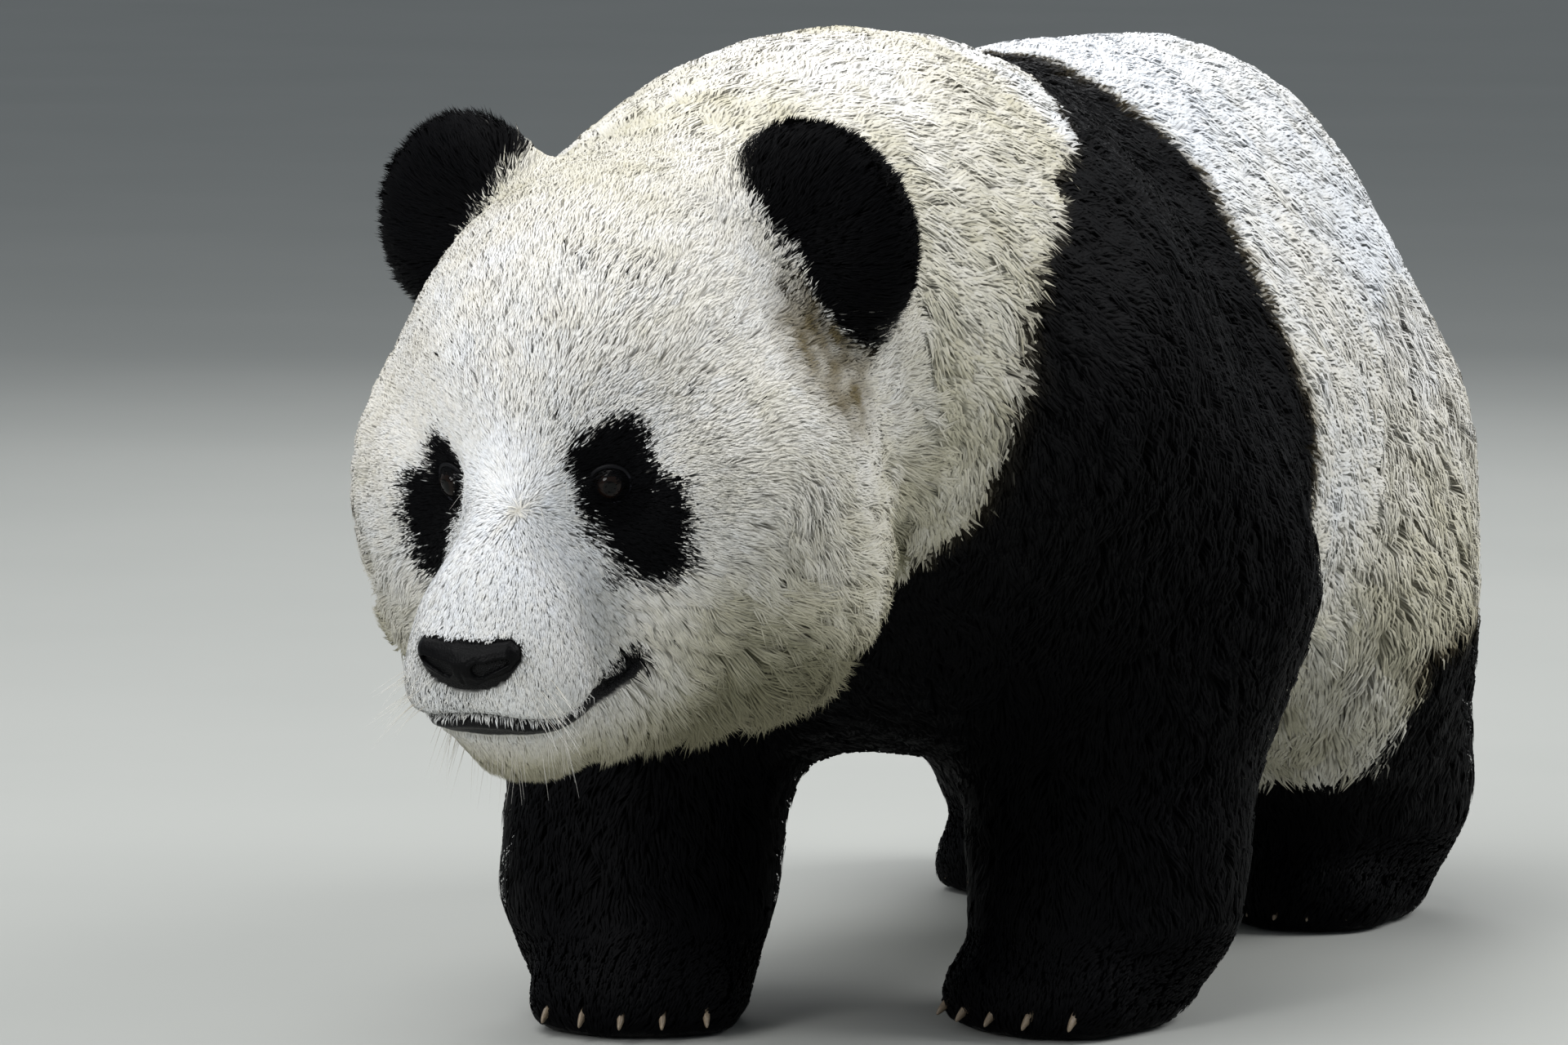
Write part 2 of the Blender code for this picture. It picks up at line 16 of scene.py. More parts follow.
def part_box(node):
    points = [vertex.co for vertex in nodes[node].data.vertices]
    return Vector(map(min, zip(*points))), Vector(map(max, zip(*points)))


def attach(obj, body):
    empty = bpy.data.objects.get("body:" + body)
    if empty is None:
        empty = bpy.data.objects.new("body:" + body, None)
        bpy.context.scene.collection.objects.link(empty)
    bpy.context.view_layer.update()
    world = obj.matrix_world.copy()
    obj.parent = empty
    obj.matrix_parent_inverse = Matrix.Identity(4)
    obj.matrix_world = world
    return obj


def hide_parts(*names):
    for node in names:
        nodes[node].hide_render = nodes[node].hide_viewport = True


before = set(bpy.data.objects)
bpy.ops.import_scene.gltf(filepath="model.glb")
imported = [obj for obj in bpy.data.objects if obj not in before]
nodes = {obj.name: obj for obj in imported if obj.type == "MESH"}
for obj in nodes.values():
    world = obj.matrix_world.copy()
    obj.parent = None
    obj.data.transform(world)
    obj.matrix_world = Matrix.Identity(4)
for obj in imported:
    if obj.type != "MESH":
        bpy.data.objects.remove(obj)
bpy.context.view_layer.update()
MM = 0.001
FAR = 0.1  # stands for any distance too long to matter

# ---------------------------------------------------------------- named sizes
HEAD_AT = np.array((-0.01344, -0.51697, 0.486))  # middle of the skull
HEAD_PITCH, HEAD_YAW = 20.0, 1.0  # degrees
EYE_RADIUS = 0.0145
VOXEL = 0.0065  # grain of the skin before the face is made finer
SINKINGS = 3  # steps in which the solids' outline sinks to the skin

# places in the head's own frame, on its left side where there are two
EAR_AT = np.array((0.134, 0.084, 0.091))  # middle of the ear
EAR_OUT = np.array((0.868, 0.0, 0.497))  # the way the ear stands out
EYE_AT = np.array((0.066, -0.140, -0.008))
EYE_GAZE = np.array((0.42, -0.90, 0.05))
NOSE_AT = np.array((0.0, -0.2535, -0.0785))
WHORL = np.array((0.014, -0.180, -0.001))  # the hair of the head fans out from here
WHORL_PARTINGS = ((-0.012, -0.012), (0.013, 0.006))  # ends of two short partings, x and z from the whorl
CHEEK_SWIRL = np.array((0.172, -0.066, -0.042))
TAN_SPOT = np.array((0.158, 0.030, 0.028))  # below the ear
TAN_RADII = np.array((0.052, 0.048, 0.064))

# left half of the line between the lips, from the middle to the corner, in the head's own frame
MOUTH = ((0.0, -0.262, -0.1175), (0.020, -0.260, -0.1190), (0.040, -0.250, -0.1215),
         (0.057, -0.228, -0.1245), (0.064, -0.200, -0.1250), (0.0725, -0.161, -0.1190))
MOUTH_STEPS = 42  # points on that half
SLIT_DEPTH, SLIT_WIDTH = 7.5 * MM, 4.0 * MM
LIP_SWELL, LIP_MIDDLE = 2.2 * MM, 9.0 * MM  # how far the lower lip swells, and how far below the slit

# black patch of an eye, a pear: round lobes (x, z and radius) and which of them are joined
PATCH = ((0.0615, 0.0140, 0.0218), (0.0745, -0.0205, 0.0262), (0.0870, -0.0445, 0.0262),
         (0.0900, -0.0250, 0.0262))
PATCH_JOINS = ((0, 1), (1, 2), (3, 2))

# shoulder band: height above the floor, then y of its front and of its rear edge
BAND_Z = (0.10, 0.27, 0.35, 0.39, 0.43, 0.47, 0.52, 0.56, 0.59, 0.62, 0.66, 0.69)
BAND_FRONT = (-0.40, -0.36, -0.335, -0.300, -0.303, -0.299, -0.288, -0.260, -0.221, -0.166, -0.080, 0.060)
BAND_REAR = (0.085, 0.105, 0.150, 0.160, 0.160, 0.150, 0.146, 0.158, 0.168, 0.155, 0.128, 0.112)

# regions of the body by group, and all their kinds
HEAD, BODY = ("head", "jaw"), ("neck", "trunk", "tail")
FORELIMB, HINDLIMB = ("foreleg", "forearm", "forepaw"), ("thigh", "shank", "hindpaw")
LEGS, PAWS = ("foreleg", "forearm", "thigh", "shank"), ("forepaw", "hindpaw")
KINDS = HEAD + ("ear",) + BODY + FORELIMB + HINDLIMB

# depth of the coat in mm
DEPTH = {"muzzle": 2.1, "head": 12.5, "by the eyes": 3.5, "ear": 8.0, "body": 12.5, "leg": 12.5,
         "paw": 6.0, "sole": 1.2}

# locks of each region but the head: length and width in mm, and thousands to the square metre
LOCKS = {
    ("ear",): (17, 1.1, 480),
    ("neck",): (30, 2.3, 210),
    ("trunk", "tail"): (30, 2.3, 140),
    LEGS: (27, 2.1, 95),
    PAWS: (14, 1.7, 200),
}

COLOURS = {
    "cool white": "#E3E6EA", "cream": "#E1DED6", "straw": "#C4BFAA", "olive": "#86836C",
    # shade: painted shade for the roots of the white locks; black root and black tip: painted shade at the
    # roots and painted sheen at the tips of the black locks
    "shade": "#A8A290", "tan": "#6C6147", "black tip": "#060608", "black root": "#030304",
    "bare skin": "#070708",
}

HEAD_TURN = np.array(Matrix.Rotation(math.radians(-HEAD_YAW), 3, "Z")
                     @ Matrix.Rotation(math.radians(HEAD_PITCH), 3, "X"))


def to_head(points):
    return (np.asarray(points) - HEAD_AT) @ HEAD_TURN


def from_head(points):
    return np.asarray(points) @ HEAD_TURN.T + HEAD_AT


def on_left(h):
    """Points in the head's frame, those of its right side mirrored to its left."""
    return np.stack([np.abs(h[:, 0]), h[:, 1], h[:, 2]], axis=1)


def distance(points, place, radii=1.0):
    """Distance of points from a place, or how many times the radii of an ellipsoid about it."""
    return np.linalg.norm((points - place) / radii, axis=1)


def fade(value, low, high):
    """0 at low, 1 at high, smooth between; low may be above high."""
    t = np.clip((value - low) / (high - low), 0.0, 1.0)
    return t * t * (3 - 2 * t)


def bell(value, width):
    """1 where value is 0, about a third where it is width, and soon 0."""
    return np.exp(-((value / width) ** 2))


def unit(v):
    return v / np.maximum(np.linalg.norm(v, axis=-1, keepdims=True), 1e-9)


def along_skin(v, n):
    """What is left of the vectors v without their share along the normals n."""
    return v - n * (v * n).sum(axis=1, keepdims=True)


def rotated(way, n, angle):
    """way turned about n by an angle in radians."""
    return way * np.cos(angle)[:, None] + np.cross(n, way) * np.sin(angle)[:, None]


def waves(points, size, seed, count=7):
    """Smooth noise of about -1 to 1 whose bumps are about size across."""
    draw = np.random.default_rng(seed)
    total = np.zeros(len(points))
    for _ in range(count):
        way = draw.normal(size=3)
        way *= math.tau / size * draw.uniform(0.6, 1.5) / np.linalg.norm(way)
        total += np.sin(points @ way + draw.uniform(0, math.tau))
    return total / math.sqrt(count)


def segment_gap(points, a, b):
    """Distance of points from the line a to b, and how far along it each one's nearest place is."""
    a, b = np.array(a), np.array(b)
    t = np.clip((points - a) @ (b - a) / ((b - a) @ (b - a)), 0, 1)
    return np.linalg.norm(points - (a + t[:, None] * (b - a)), axis=1), t


# ---------------------------------------------------------------- mesh helpers
def new_object(name, mesh):
    made = bpy.data.objects.new(name, mesh)
    bpy.context.scene.collection.objects.link(made)
    return made


def only(obj):
    """Makes an object the selected and active one."""
    bpy.ops.object.select_all(action="DESELECT")
    obj.select_set(True)
    bpy.context.view_layer.objects.active = obj


def apply(obj, kind, **settings):
    """Adds a modifier and applies it."""
    modifier = obj.modifiers.new(kind.title(), kind)
    for key, value in settings.items():
        setattr(modifier, key, value)
    only(obj)
    bpy.ops.object.modifier_apply(modifier=modifier.name)


def read(items, key, width, kind=np.float32):
    """One property of all items of a mesh, a row for each."""
    out = np.empty(len(items) * width, kind)
    items.foreach_get(key, out)
    return out.reshape(-1, width)


def coordinates(mesh):
    return read(mesh.vertices, "co", 3).astype(float)


def normals(mesh):
    return read(mesh.vertex_normals, "vector", 3).astype(float)


def edges_of(mesh):
    return read(mesh.edges, "vertices", 2, np.int32)


def move_to(mesh, co):
    mesh.vertices.foreach_set("co", np.ascontiguousarray(co, np.float32).ravel())
    mesh.update()


def give(mesh, name, values, kind="FLOAT"):
    """Gives each vertex a value or a colour of its own."""
    made = mesh.attributes.new(name, kind, "POINT")
    key = "color" if kind == "FLOAT_COLOR" else "value"
    made.data.foreach_set(key, np.ascontiguousarray(values, np.float32).ravel())


def spread(edges, values, rounds, share=0.5, mask=None):
    """Each value drawn towards the mean of its neighbours, round after round."""
    count = len(values)
    a, b = edges[:, 0], edges[:, 1]
    degree = np.maximum(np.bincount(a, minlength=count) + np.bincount(b, minlength=count), 1)[:, None]
    flat = values.reshape(count, -1).copy()
    amount = share if mask is None else share * mask[:, None]
    for _ in range(rounds):
        total = np.stack([np.bincount(a, column[b], count) + np.bincount(b, column[a], count)
                          for column in flat.T], axis=1)
        flat += amount * (total / degree - flat)
    return flat.reshape(values.shape)


def smoothed(mesh, rounds, mask=None):
    """Smoothing that keeps the volume: each round pulls in and then pushes back a little more."""
    edges, co = edges_of(mesh), coordinates(mesh)
    for _ in range(rounds):
        co = spread(edges, co, 1, 0.55, mask)
        co = spread(edges, co, 1, -0.57, mask)
    move_to(mesh, co)


def shell(name, names, grow):
    """The CAD nodes of these names, welded, grown a little so that they overlap, and joined as one object."""
    net = bmesh.new()
    for node in names:
        one = bmesh.new()
        one.from_mesh(nodes[node].data)
        bmesh.ops.remove_doubles(one, verts=one.verts, dist=1e-5)
        one.normal_update()
        for v in one.verts:
            v.co += v.normal * grow
        passing = bpy.data.meshes.new("passing")
        one.to_mesh(passing)
        one.free()
        net.from_mesh(passing)
        bpy.data.meshes.remove(passing)
    mesh = bpy.data.meshes.new(name)
    net.to_mesh(mesh)
    net.free()
    return new_object(name, mesh)


def tree_of(mesh):
    """A finder of nearest places on a mesh, and the mesh's triangles."""
    mesh.calc_loop_triangles()
    faces = read(mesh.loop_triangles, "vertices", 3, np.int32)
    return BVHTree.FromPolygons(coordinates(mesh).tolist(), faces.tolist(), all_triangles=True), faces


def finer(mesh, near):
    """Halves the faces where near(points in the head's frame) is true."""
    net = bmesh.new()
    net.from_mesh(mesh)
    chosen = near(to_head([v.co for v in net.verts]))
    inside = {v for v, c in zip(net.verts, chosen) if c}
    edges = [e for e in net.edges if all(v in inside for v in e.verts)]
    bmesh.ops.subdivide_edges(net, edges=edges, cuts=1, use_grid_fill=True)
    bmesh.ops.triangulate(net, faces=[f for f in net.faces if len(f.verts) > 4])
    net.to_mesh(mesh)
    net.free()


# ---------------------------------------------------------------- regions of the body
FLESH = sorted(n for n in nodes if not n.startswith(("eye", "nose", "claw")))


def kind_of(name):
    return next(i for i, kind in enumerate(KINDS) if kind in name.split("_"))


def region_tree():
    """A finder of nearest places on all the flesh, and the kind of each of its triangles."""
    points, faces, kinds = [], [], []
    for name in FLESH:
        mesh = nodes[name].data
        mesh.calc_loop_triangles()
        base = len(points)
        points += [tuple(v.co) for v in mesh.vertices]
        for t in mesh.loop_triangles:
            faces.append(tuple(base + i for i in t.vertices))
            kinds.append(kind_of(name))
    return BVHTree.FromPolygons(points, faces, all_triangles=True), np.array(kinds)


REGION_TREE, REGION_KINDS = region_tree()


def region_weights(mesh, rounds):
    """A share of each kind of region for each vertex, soft across their borders."""
    found = np.array([REGION_TREE.find_nearest(p)[2] for p in coordinates(mesh).tolist()])
    share = np.eye(len(KINDS))[REGION_KINDS[found]]
    return spread(edges_of(mesh), share, rounds)


def share_of(weights, *names):
    return sum(weights[:, KINDS.index(name)] for name in names)


def coat_depth(p, w):
    """How far the coat stands from the skin, in metres: least on the muzzle, by the eyes and at the soles."""
    h = to_head(p)
    face = DEPTH["muzzle"] + (DEPTH["head"] - DEPTH["muzzle"]) * fade(distance(h, NOSE_AT), 0.075, 0.23)
    by_eye = DEPTH["by the eyes"] + 12.0 * fade(distance(on_left(h), EYE_AT), 0.030, 0.100)
    limb = DEPTH["paw"] + (DEPTH["leg"] - DEPTH["paw"]) * fade(p[:, 2], 0.07, 0.20)
    depth = share_of(w, *HEAD) * np.minimum(face, by_eye) + share_of(w, "ear") * DEPTH["ear"]
    depth += share_of(w, *BODY) * DEPTH["body"]
    depth += share_of(w, *FORELIMB, *HINDLIMB) * limb
    near_floor = DEPTH["sole"] + 6.0 * fade(p[:, 2], 0.004, 0.030) + 60 * fade(p[:, 2], 0.03, 0.12)
    return MM * np.minimum(depth, near_floor)


# ---------------------------------------------------------------- the skin
SIDES = {"left": 1, "right": -1}
EYES = {side: np.array(sum(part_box("eye_" + side), Vector())) / 2 for side in SIDES}


def gaze_of(side):
    return unit(HEAD_TURN @ (EYE_GAZE * (SIDES[side], 1, 1)))


def mouth_line():
    """Points of the line between the lips, from its right corner to its left one, in the head's frame."""
    half = np.array(MOUTH)
    along = np.linspace(0, len(half) - 1, MOUTH_STEPS)
    left = np.stack([np.interp(along, range(len(half)), column) for column in half.T], axis=1)
    right = left[:0:-1] * (-1, 1, 1)
    return np.concatenate([right, left])


def near_face(h):
    """On the front of the head."""
    return (h[:, 1] < -0.10) & (h[:, 2] > -0.2)


def near_features(h):
    """Close to an eye or to the line between the lips."""
    eyes = np.min([distance(h, to_head(e)) for e in EYES.values()], axis=0)
    mouth = np.min([distance(h, m) for m in mouth_line()[::4]], axis=0)
    return (eyes < 0.034) | (mouth < 0.026)


def lip_frame(h, close):
    """Distance from the line between the lips, height above it and how far along it, for close points."""
    gap, above, corner = np.full(len(h), FAR), np.zeros(len(h)), np.zeros(len(h))
    away = np.linalg.norm(h[close][:, None] - LIPS[None], axis=2)
    which = away.argmin(axis=1)
    gap[close] = away.min(axis=1)
    above[close] = h[close, 2] - LIPS[which, 2]
    corner[close] = np.abs(np.linspace(-1, 1, len(LIPS)))[which]
    return gap, above, corner


def carve_face(mesh):
    """The slit between the lips, the swell of the lower lip and a hollow behind each eye."""
    co = coordinates(mesh)
    h = to_head(co)
    gap, above, corner = lip_frame(h, near_features(h))
    slit = SLIT_DEPTH * bell(gap, SLIT_WIDTH) * (1 - 0.6 * corner**3)
    swell = LIP_SWELL * bell(gap - LIP_MIDDLE, SLIT_WIDTH) * (above < 0) * (1 - corner)
    co += normals(mesh) * (swell - slit)[:, None]
    for side, middle in EYES.items():
        away = co - middle
        r = np.linalg.norm(away, axis=1)
        facing = np.degrees(np.arccos(np.clip(away @ gaze_of(side) / np.maximum(r, 1e-9), -1, 1)))
        inside = fade(facing, 82, 70) * (r < 0.03)
        co += inside[:, None] * (middle + unit(away) * (EYE_RADIUS - 0.0025) - co)
    move_to(mesh, co)


skin = shell("skin", FLESH + ["eye_left", "eye_right", "nose"], 0.0008)
apply(skin, "REMESH", mode="VOXEL", voxel_size=VOXEL)
smoothed(skin.data, 14)
for _ in range(SINKINGS):
    depth = coat_depth(coordinates(skin.data), region_weights(skin.data, 12))
    move_to(skin.data, coordinates(skin.data) - normals(skin.data) * (depth / SINKINGS)[:, None])
    smoothed(skin.data, 2)
apply(skin, "REMESH", mode="VOXEL", voxel_size=VOXEL)
smoothed(skin.data, 5)
finer(skin.data, near_face)
finer(skin.data, near_features)
smoothed(skin.data, 4, near_face(to_head(coordinates(skin.data))).astype(float))
uncarved = tree_of(skin.data)[0]
LIPS = to_head([uncarved.find_nearest(p)[0] for p in from_head(mouth_line()).tolist()])
carve_face(skin.data)
skin.data.shade_smooth()


# ---------------------------------------------------------------- markings and painted shade, shared by skin and coat
def eye_patch(h):
    """Metres inside the black patch about each eye, a pear that leans outward: above 0 inside."""
    side = np.abs(h[:, 0])
    right = h[:, 0] < 0  # a little smaller than the left one
    side = side + 0.014 * right * fade(side, 0.055, 0.095)
    flat = np.stack([side, h[:, 2] + 0.015 * right * fade(h[:, 2], -0.01, 0.03)], axis=1)
    inside = []
    for a, b in PATCH_JOINS:
        gap, t = segment_gap(flat, PATCH[a][:2], PATCH[b][:2])
        inside.append(PATCH[a][2] + t * (PATCH[b][2] - PATCH[a][2]) - gap)
    return np.max(inside, axis=0) - 0.2 * fade(h[:, 1], -0.09, -0.07)


def lips_dark(h):
    """Metres inside the dark hair along the lips, and in the groove below the nose, where the dark hair
    stands partly for dark skin showing and partly for painted shade.
    """
    close = (h[:, 1] < -0.12) & (np.abs(h[:, 2] + 0.12) < 0.05)
    gap, _, corner = lip_frame(h, close)
    inside = np.where(close, 0.0028 * fade(corner, 1.02, 0.9) - gap, -1.0)
    # partly dark skin showing through, partly painted shade: some locks in the groove below the nose turn
    # black
    groove = -0.0018 - 0.14 * np.abs(h[:, 0]) - 0.5 * fade(h[:, 2], -0.095, -0.085)
    return np.maximum(inside, np.where((h[:, 1] < -0.22) & (h[:, 2] > -0.122), groove, -1.0))


def ear_black(h, w):
    """Metres inside the black of an ear, which takes in some of the hair about its base."""
    local = on_left(h) - EAR_AT
    up = local @ EAR_OUT
    off_axis = np.linalg.norm((local - np.outer(up, EAR_OUT)) * (1, 1.35, 1), axis=1)
    inside = np.minimum(0.082 - off_axis, up + 0.020)
    inside = np.maximum((share_of(w, "ear") - 0.5) * 0.030, inside)
    return np.where(share_of(w, "ear", "head") > 0.5, inside, -1.0)


def band_black(p, w):
    """Metres inside the band that runs over the shoulders and down behind the forelegs."""
    front, rear = (np.interp(p[:, 2], BAND_Z, edge) for edge in (BAND_FRONT, BAND_REAR))
    return np.minimum(p[:, 1] - front, rear - p[:, 1]) - 0.5 * share_of(w, *HEAD, "ear")


def leg_black(p, w):
    """Metres inside the black of the legs, which on the hind ones ends below the flank."""
    fore = np.where(p[:, 2] < 0.33, (share_of(w, *FORELIMB) - 0.5) * 0.06, -1.0)
    top = 0.232 + 0.35 * np.clip(p[:, 1] - 0.40, -0.2, 0.08)
    knee = 0.350 - 0.2 * (p[:, 2] - 0.24) - 0.5 * fade(p[:, 2], 0.13, 0.09)
    hind = np.minimum((share_of(w, *HINDLIMB) - 0.45) * 0.06, top - p[:, 2])
    return np.maximum(fore, np.minimum(hind, 0.7 * (p[:, 1] - knee)))


def black_of(p, w):
    """Metres inside any of the black, above 0 inside."""
    h = to_head(p)
    face = np.where(share_of(w, *HEAD) > 0.5, np.maximum(eye_patch(h), lips_dark(h)), -1.0)
    wander = waves(p, 0.09, 3) * 0.005 + waves(p, 0.03, 4) * 0.0025
    return np.max([band_black(p, w), leg_black(p, w), ear_black(h, w), face], axis=0) + wander


def whorl_lines(h):
    """1 on the short partings that meet in the whorl between the eyes, fading along them."""
    lines = np.zeros(len(h))
    for end in WHORL_PARTINGS:
        gap, t = segment_gap(h[:, (0, 2)], WHORL[[0, 2]], WHORL[[0, 2]] + end)
        lines += (1 - t) * bell(gap, 0.0020) * (h[:, 1] < -0.1)
    return lines


def tone_and_shade_of(p, w):
    """Tone of the white hair, from 0 for cool white to 1 for olive; partly dust and partly painted shade on
    the lower cheeks, under the chin and low on the body, and painted shade on the partings.
    """
    h = to_head(p)
    head = share_of(w, *HEAD)
    patchy = 0.5 + 0.5 * waves(p, 0.16, 5)
    tone = 0.36 + 0.10 * waves(p, 0.30, 6) + 0.05 * waves(p, 0.05, 7)
    tone *= 1 - 0.6 * fade(distance(h, NOSE_AT), 0.22, 0.08) * head
    # partly dust and partly painted shade: olive on the lower cheeks and under the chin
    cheek = head * fade(h[:, 2], -0.04, -0.15) * fade(h[:, 1], -0.27, -0.14)
    tone += cheek * (0.30 + 0.34 * patchy) + 0.55 * head * fade(h[:, 2], -0.128, -0.175)
    tone += 0.15 * head * fade(h[:, 1], -0.06, 0.06) * fade(h[:, 2], 0.02, 0.10)
    tone += (0.10 + 0.16 * patchy) * share_of(w, "neck")
    # partly dust and partly painted shade: darker and more olive low on the body
    low = share_of(w, "trunk", "thigh", "shank") * fade(p[:, 2], 0.42, 0.18)
    tone += 0.40 * low * (0.6 + 0.4 * patchy) - 0.26 * share_of(w, "trunk") * fade(p[:, 2], 0.34, 0.56)
    # painted shade in the creases of the partings
    return np.clip(tone + 0.18 * whorl_lines(h), 0, 1)


def tan_and_shadow_of(p, w, black):
    """Share of tan: below the ears and where white meets black, with a painted shadow under the jaw and
    painted shade on the partings.
    """
    h = to_head(p)
    tan = fade(distance(on_left(h), TAN_SPOT, TAN_RADII), 1.35, 0.60) * (0.80 + 0.18 * waves(p, 0.02, 8))
    tan *= fade(ear_black(h, w), 0.004, -0.001)
    # painted shade in the creases of the partings
    tan += 0.10 * whorl_lines(h)
    behind_band = p[:, 1] > np.interp(p[:, 2], BAND_Z, BAND_REAR) - 0.05
    edge = bell(np.minimum(black, 0.03), 0.010) * np.where(behind_band, 0.7, 0.3)
    tan += edge * share_of(w, "trunk", "neck", "foreleg", "thigh")
    # painted shadow under the jaw
    tan += 0.20 * share_of(w, *HEAD) * fade(h[:, 2], -0.135, -0.195) * fade(h[:, 1], -0.27, -0.20)
    return np.clip(tan, 0, 1)


# ---------------------------------------------------------------- how the coat lies
def head_way(p):
    """On the head the hair fans out from the whorl, and droops on the cheeks and under the jaw."""
    h = to_head(p)
    uneven = np.stack([waves(p, 0.005, seed) for seed in (21, 22)], axis=1)
    way = unit(h - WHORL + 0.0025 * np.insert(uneven, 1, 0, axis=1))
    way = way + fade(h[:, 2:], -0.02, -0.14) * (0.0, 0.15, -0.35)
    under = fade(h[:, 2:], -0.13, -0.18)
    return (way * (1 - 0.6 * under) + under * (0, 0.45, -0.75)) @ HEAD_TURN.T


def ear_way(h):
    """On an ear the hair fans out from below its base."""
    base = (EAR_AT - EAR_OUT * 0.075) * np.where((True, False, False), np.sign(h[:, :1]), 1)
    return unit(h - base) @ HEAD_TURN.T


def trunk_way(n):
    """On the trunk it lies back and down the flanks, and straight down on chest and rump."""
    way = (0, 1, 0) - np.abs(n[:, :1]) * (0, 0.25, 0.55)
    chest = fade(n[:, 1:2], -0.25, -0.7)
    way = way * (1 - chest) + chest * (0, 0.15, -1.0)
    rump = fade(n[:, 1:2], 0.35, 0.8)
    return way * (1 - rump) + rump * (0, 0.3, -1.0)


def lie(p, n, w):
    """The way the hair points, along the skin."""
    h = to_head(p)
    way = share_of(w, *HEAD)[:, None] * head_way(p) + share_of(w, "ear")[:, None] * ear_way(h)
    way += share_of(w, *BODY)[:, None] * trunk_way(n)
    way += share_of(w, *LEGS)[:, None] * (n[:, 1:2] * (0, 0.1, 0) + (0, 0.16, -1))
    way += share_of(w, *PAWS)[:, None] * (0, -0.85, -0.5)
    swirl = bell(distance(on_left(h), CHEEK_SWIRL), 0.034) * share_of(w, *HEAD)
    return rotated(unit(along_skin(way, n)), n, -1.5 * np.sign(h[:, 0]) * swirl)


def lock_sizes(p, w):
    """Lock length and width in metres, and locks to the square metre."""
    h = to_head(p)
    far = fade(distance(h, NOSE_AT), 0.085, 0.21)
    far = np.minimum(far, 0.10 + 0.9 * fade(distance(on_left(h), EYE_AT), 0.035, 0.10))
    cheek = fade(h[:, 2], 0.00, -0.10) * far
    chin = fade(h[:, 2], -0.135, -0.165)
    length = 8.8 + 10.7 * far + 12.0 * cheek + 12.0 * chin * (1 - far) + 7.0 * chin * far
    sizes = share_of(w, *HEAD) * np.stack([length, 0.78 + 0.36 * far, 1030 - 590 * far - 70 * cheek])
    for names, row in LOCKS.items():
        sizes += np.outer(row, share_of(w, *names))
    length, width, thousands = sizes
    return length * MM, width * MM, thousands * 1000


# ---------------------------------------------------------------- materials
def linear(code):
    """#RRGGBB in sRGB as linear RGBA."""
    parts = [int(code[i : i + 2], 16) / 255 for i in (1, 3, 5)]
    return (*[v / 12.92 if v <= 0.04045 else ((v + 0.055) / 1.055) ** 2.4 for v in parts], 1.0)


def wire(tree, node, inputs):
    """Gives each input of a node a value or the socket that feeds it."""
    for key, value in inputs.items():
        if isinstance(value, bpy.types.NodeSocket):
            tree.links.new(value, node.inputs[key])
        else:
            node.inputs[key].default_value = value


def add(tree, kind, inputs=(), **settings):
    """Adds a node with its settings and links, and gives its outputs."""
    node = tree.nodes.new("ShaderNode" + kind)
    for key, value in settings.items():
        setattr(node, key, value)
    wire(tree, node, dict(inputs))
    return node.outputs


def material(name, finish):
    """A material; finish adds its nodes to the tree and gives the inputs of its shader."""
    made = bpy.data.materials.new(name)
    made.use_nodes = True
    tree = made.node_tree
    wire(tree, tree.nodes["Principled BSDF"], finish(tree))
    return made


def coat_colours(tree):
    """Base colour from the marks that the mesh carries (black, tone, tan, and each lock's own draw with
    painted shade between clumps), with painted shade at the roots of the locks.
    """
    marks_and_shade = add(tree, "Attribute", attribute_name="marks_and_shade")
    black, tone, tan = add(tree, "SeparateColor", {0: marks_and_shade["Color"]})
    along = add(tree, "Attribute", attribute_name="along")["Fac"]
    hues = {key: linear(code) for key, code in COLOURS.items()}
    white = hues["cool white"]
    for low, high, next_hue in ((0.0, 0.36, "cream"), (0.36, 0.70, "straw"), (0.70, 1.0, "olive")):
        amount = add(tree, "MapRange", {0: tone, 1: low, 2: high})[0]
        white = add(tree, "Mix", {0: amount, 6: white, 7: hues[next_hue]}, data_type="RGBA")[2]
    # painted shade: the white locks darken towards their roots, where shade falls among them
    at_root = add(tree, "MapRange", {0: along, 1: 0.0, 2: 0.55, 3: 0.15, 4: 0.0})[0]
    shaded = {0: at_root, 6: white, 7: hues["shade"]}
    white = add(tree, "Mix", shaded, data_type="RGBA", blend_type="MULTIPLY")[2]
    white = add(tree, "Mix", {0: tan, 6: white, 7: hues["tan"]}, data_type="RGBA")[2]
    # painted shade and sheen: the black locks are darkest at the root and a little bluish towards the tip
    dark = add(tree, "Mix", {0: along, 6: hues["black root"], 7: hues["black tip"]}, data_type="RGBA")[2]
    faint = add(tree, "Math", {0: tan, 1: 0.30}, operation="MULTIPLY")[0]
    dark = add(tree, "Mix", {0: faint, 6: dark, 7: hues["tan"]}, data_type="RGBA")[2]
    colour = add(tree, "Mix", {0: black, 6: white, 7: dark}, data_type="RGBA")[2]
    # each lock's own draw sets its brightness, with painted shade on locks far from their clump's leader
    value = add(tree, "MapRange", {0: marks_and_shade["Alpha"], 3: 0.88, 4: 1.05})[0]
    return add(tree, "HueSaturation", {"Value": value, "Color": colour})[0]


def guard_hair(tree):
    # keratin fibres, dull and a little oily, with hardly any gloss or sheen
    return {"Base Color": coat_colours(tree), "Roughness": 0.62, "IOR": 1.45, "Specular IOR Level": 0.06,
            "Sheen Weight": 0.01, "Sheen Roughness": 0.40}


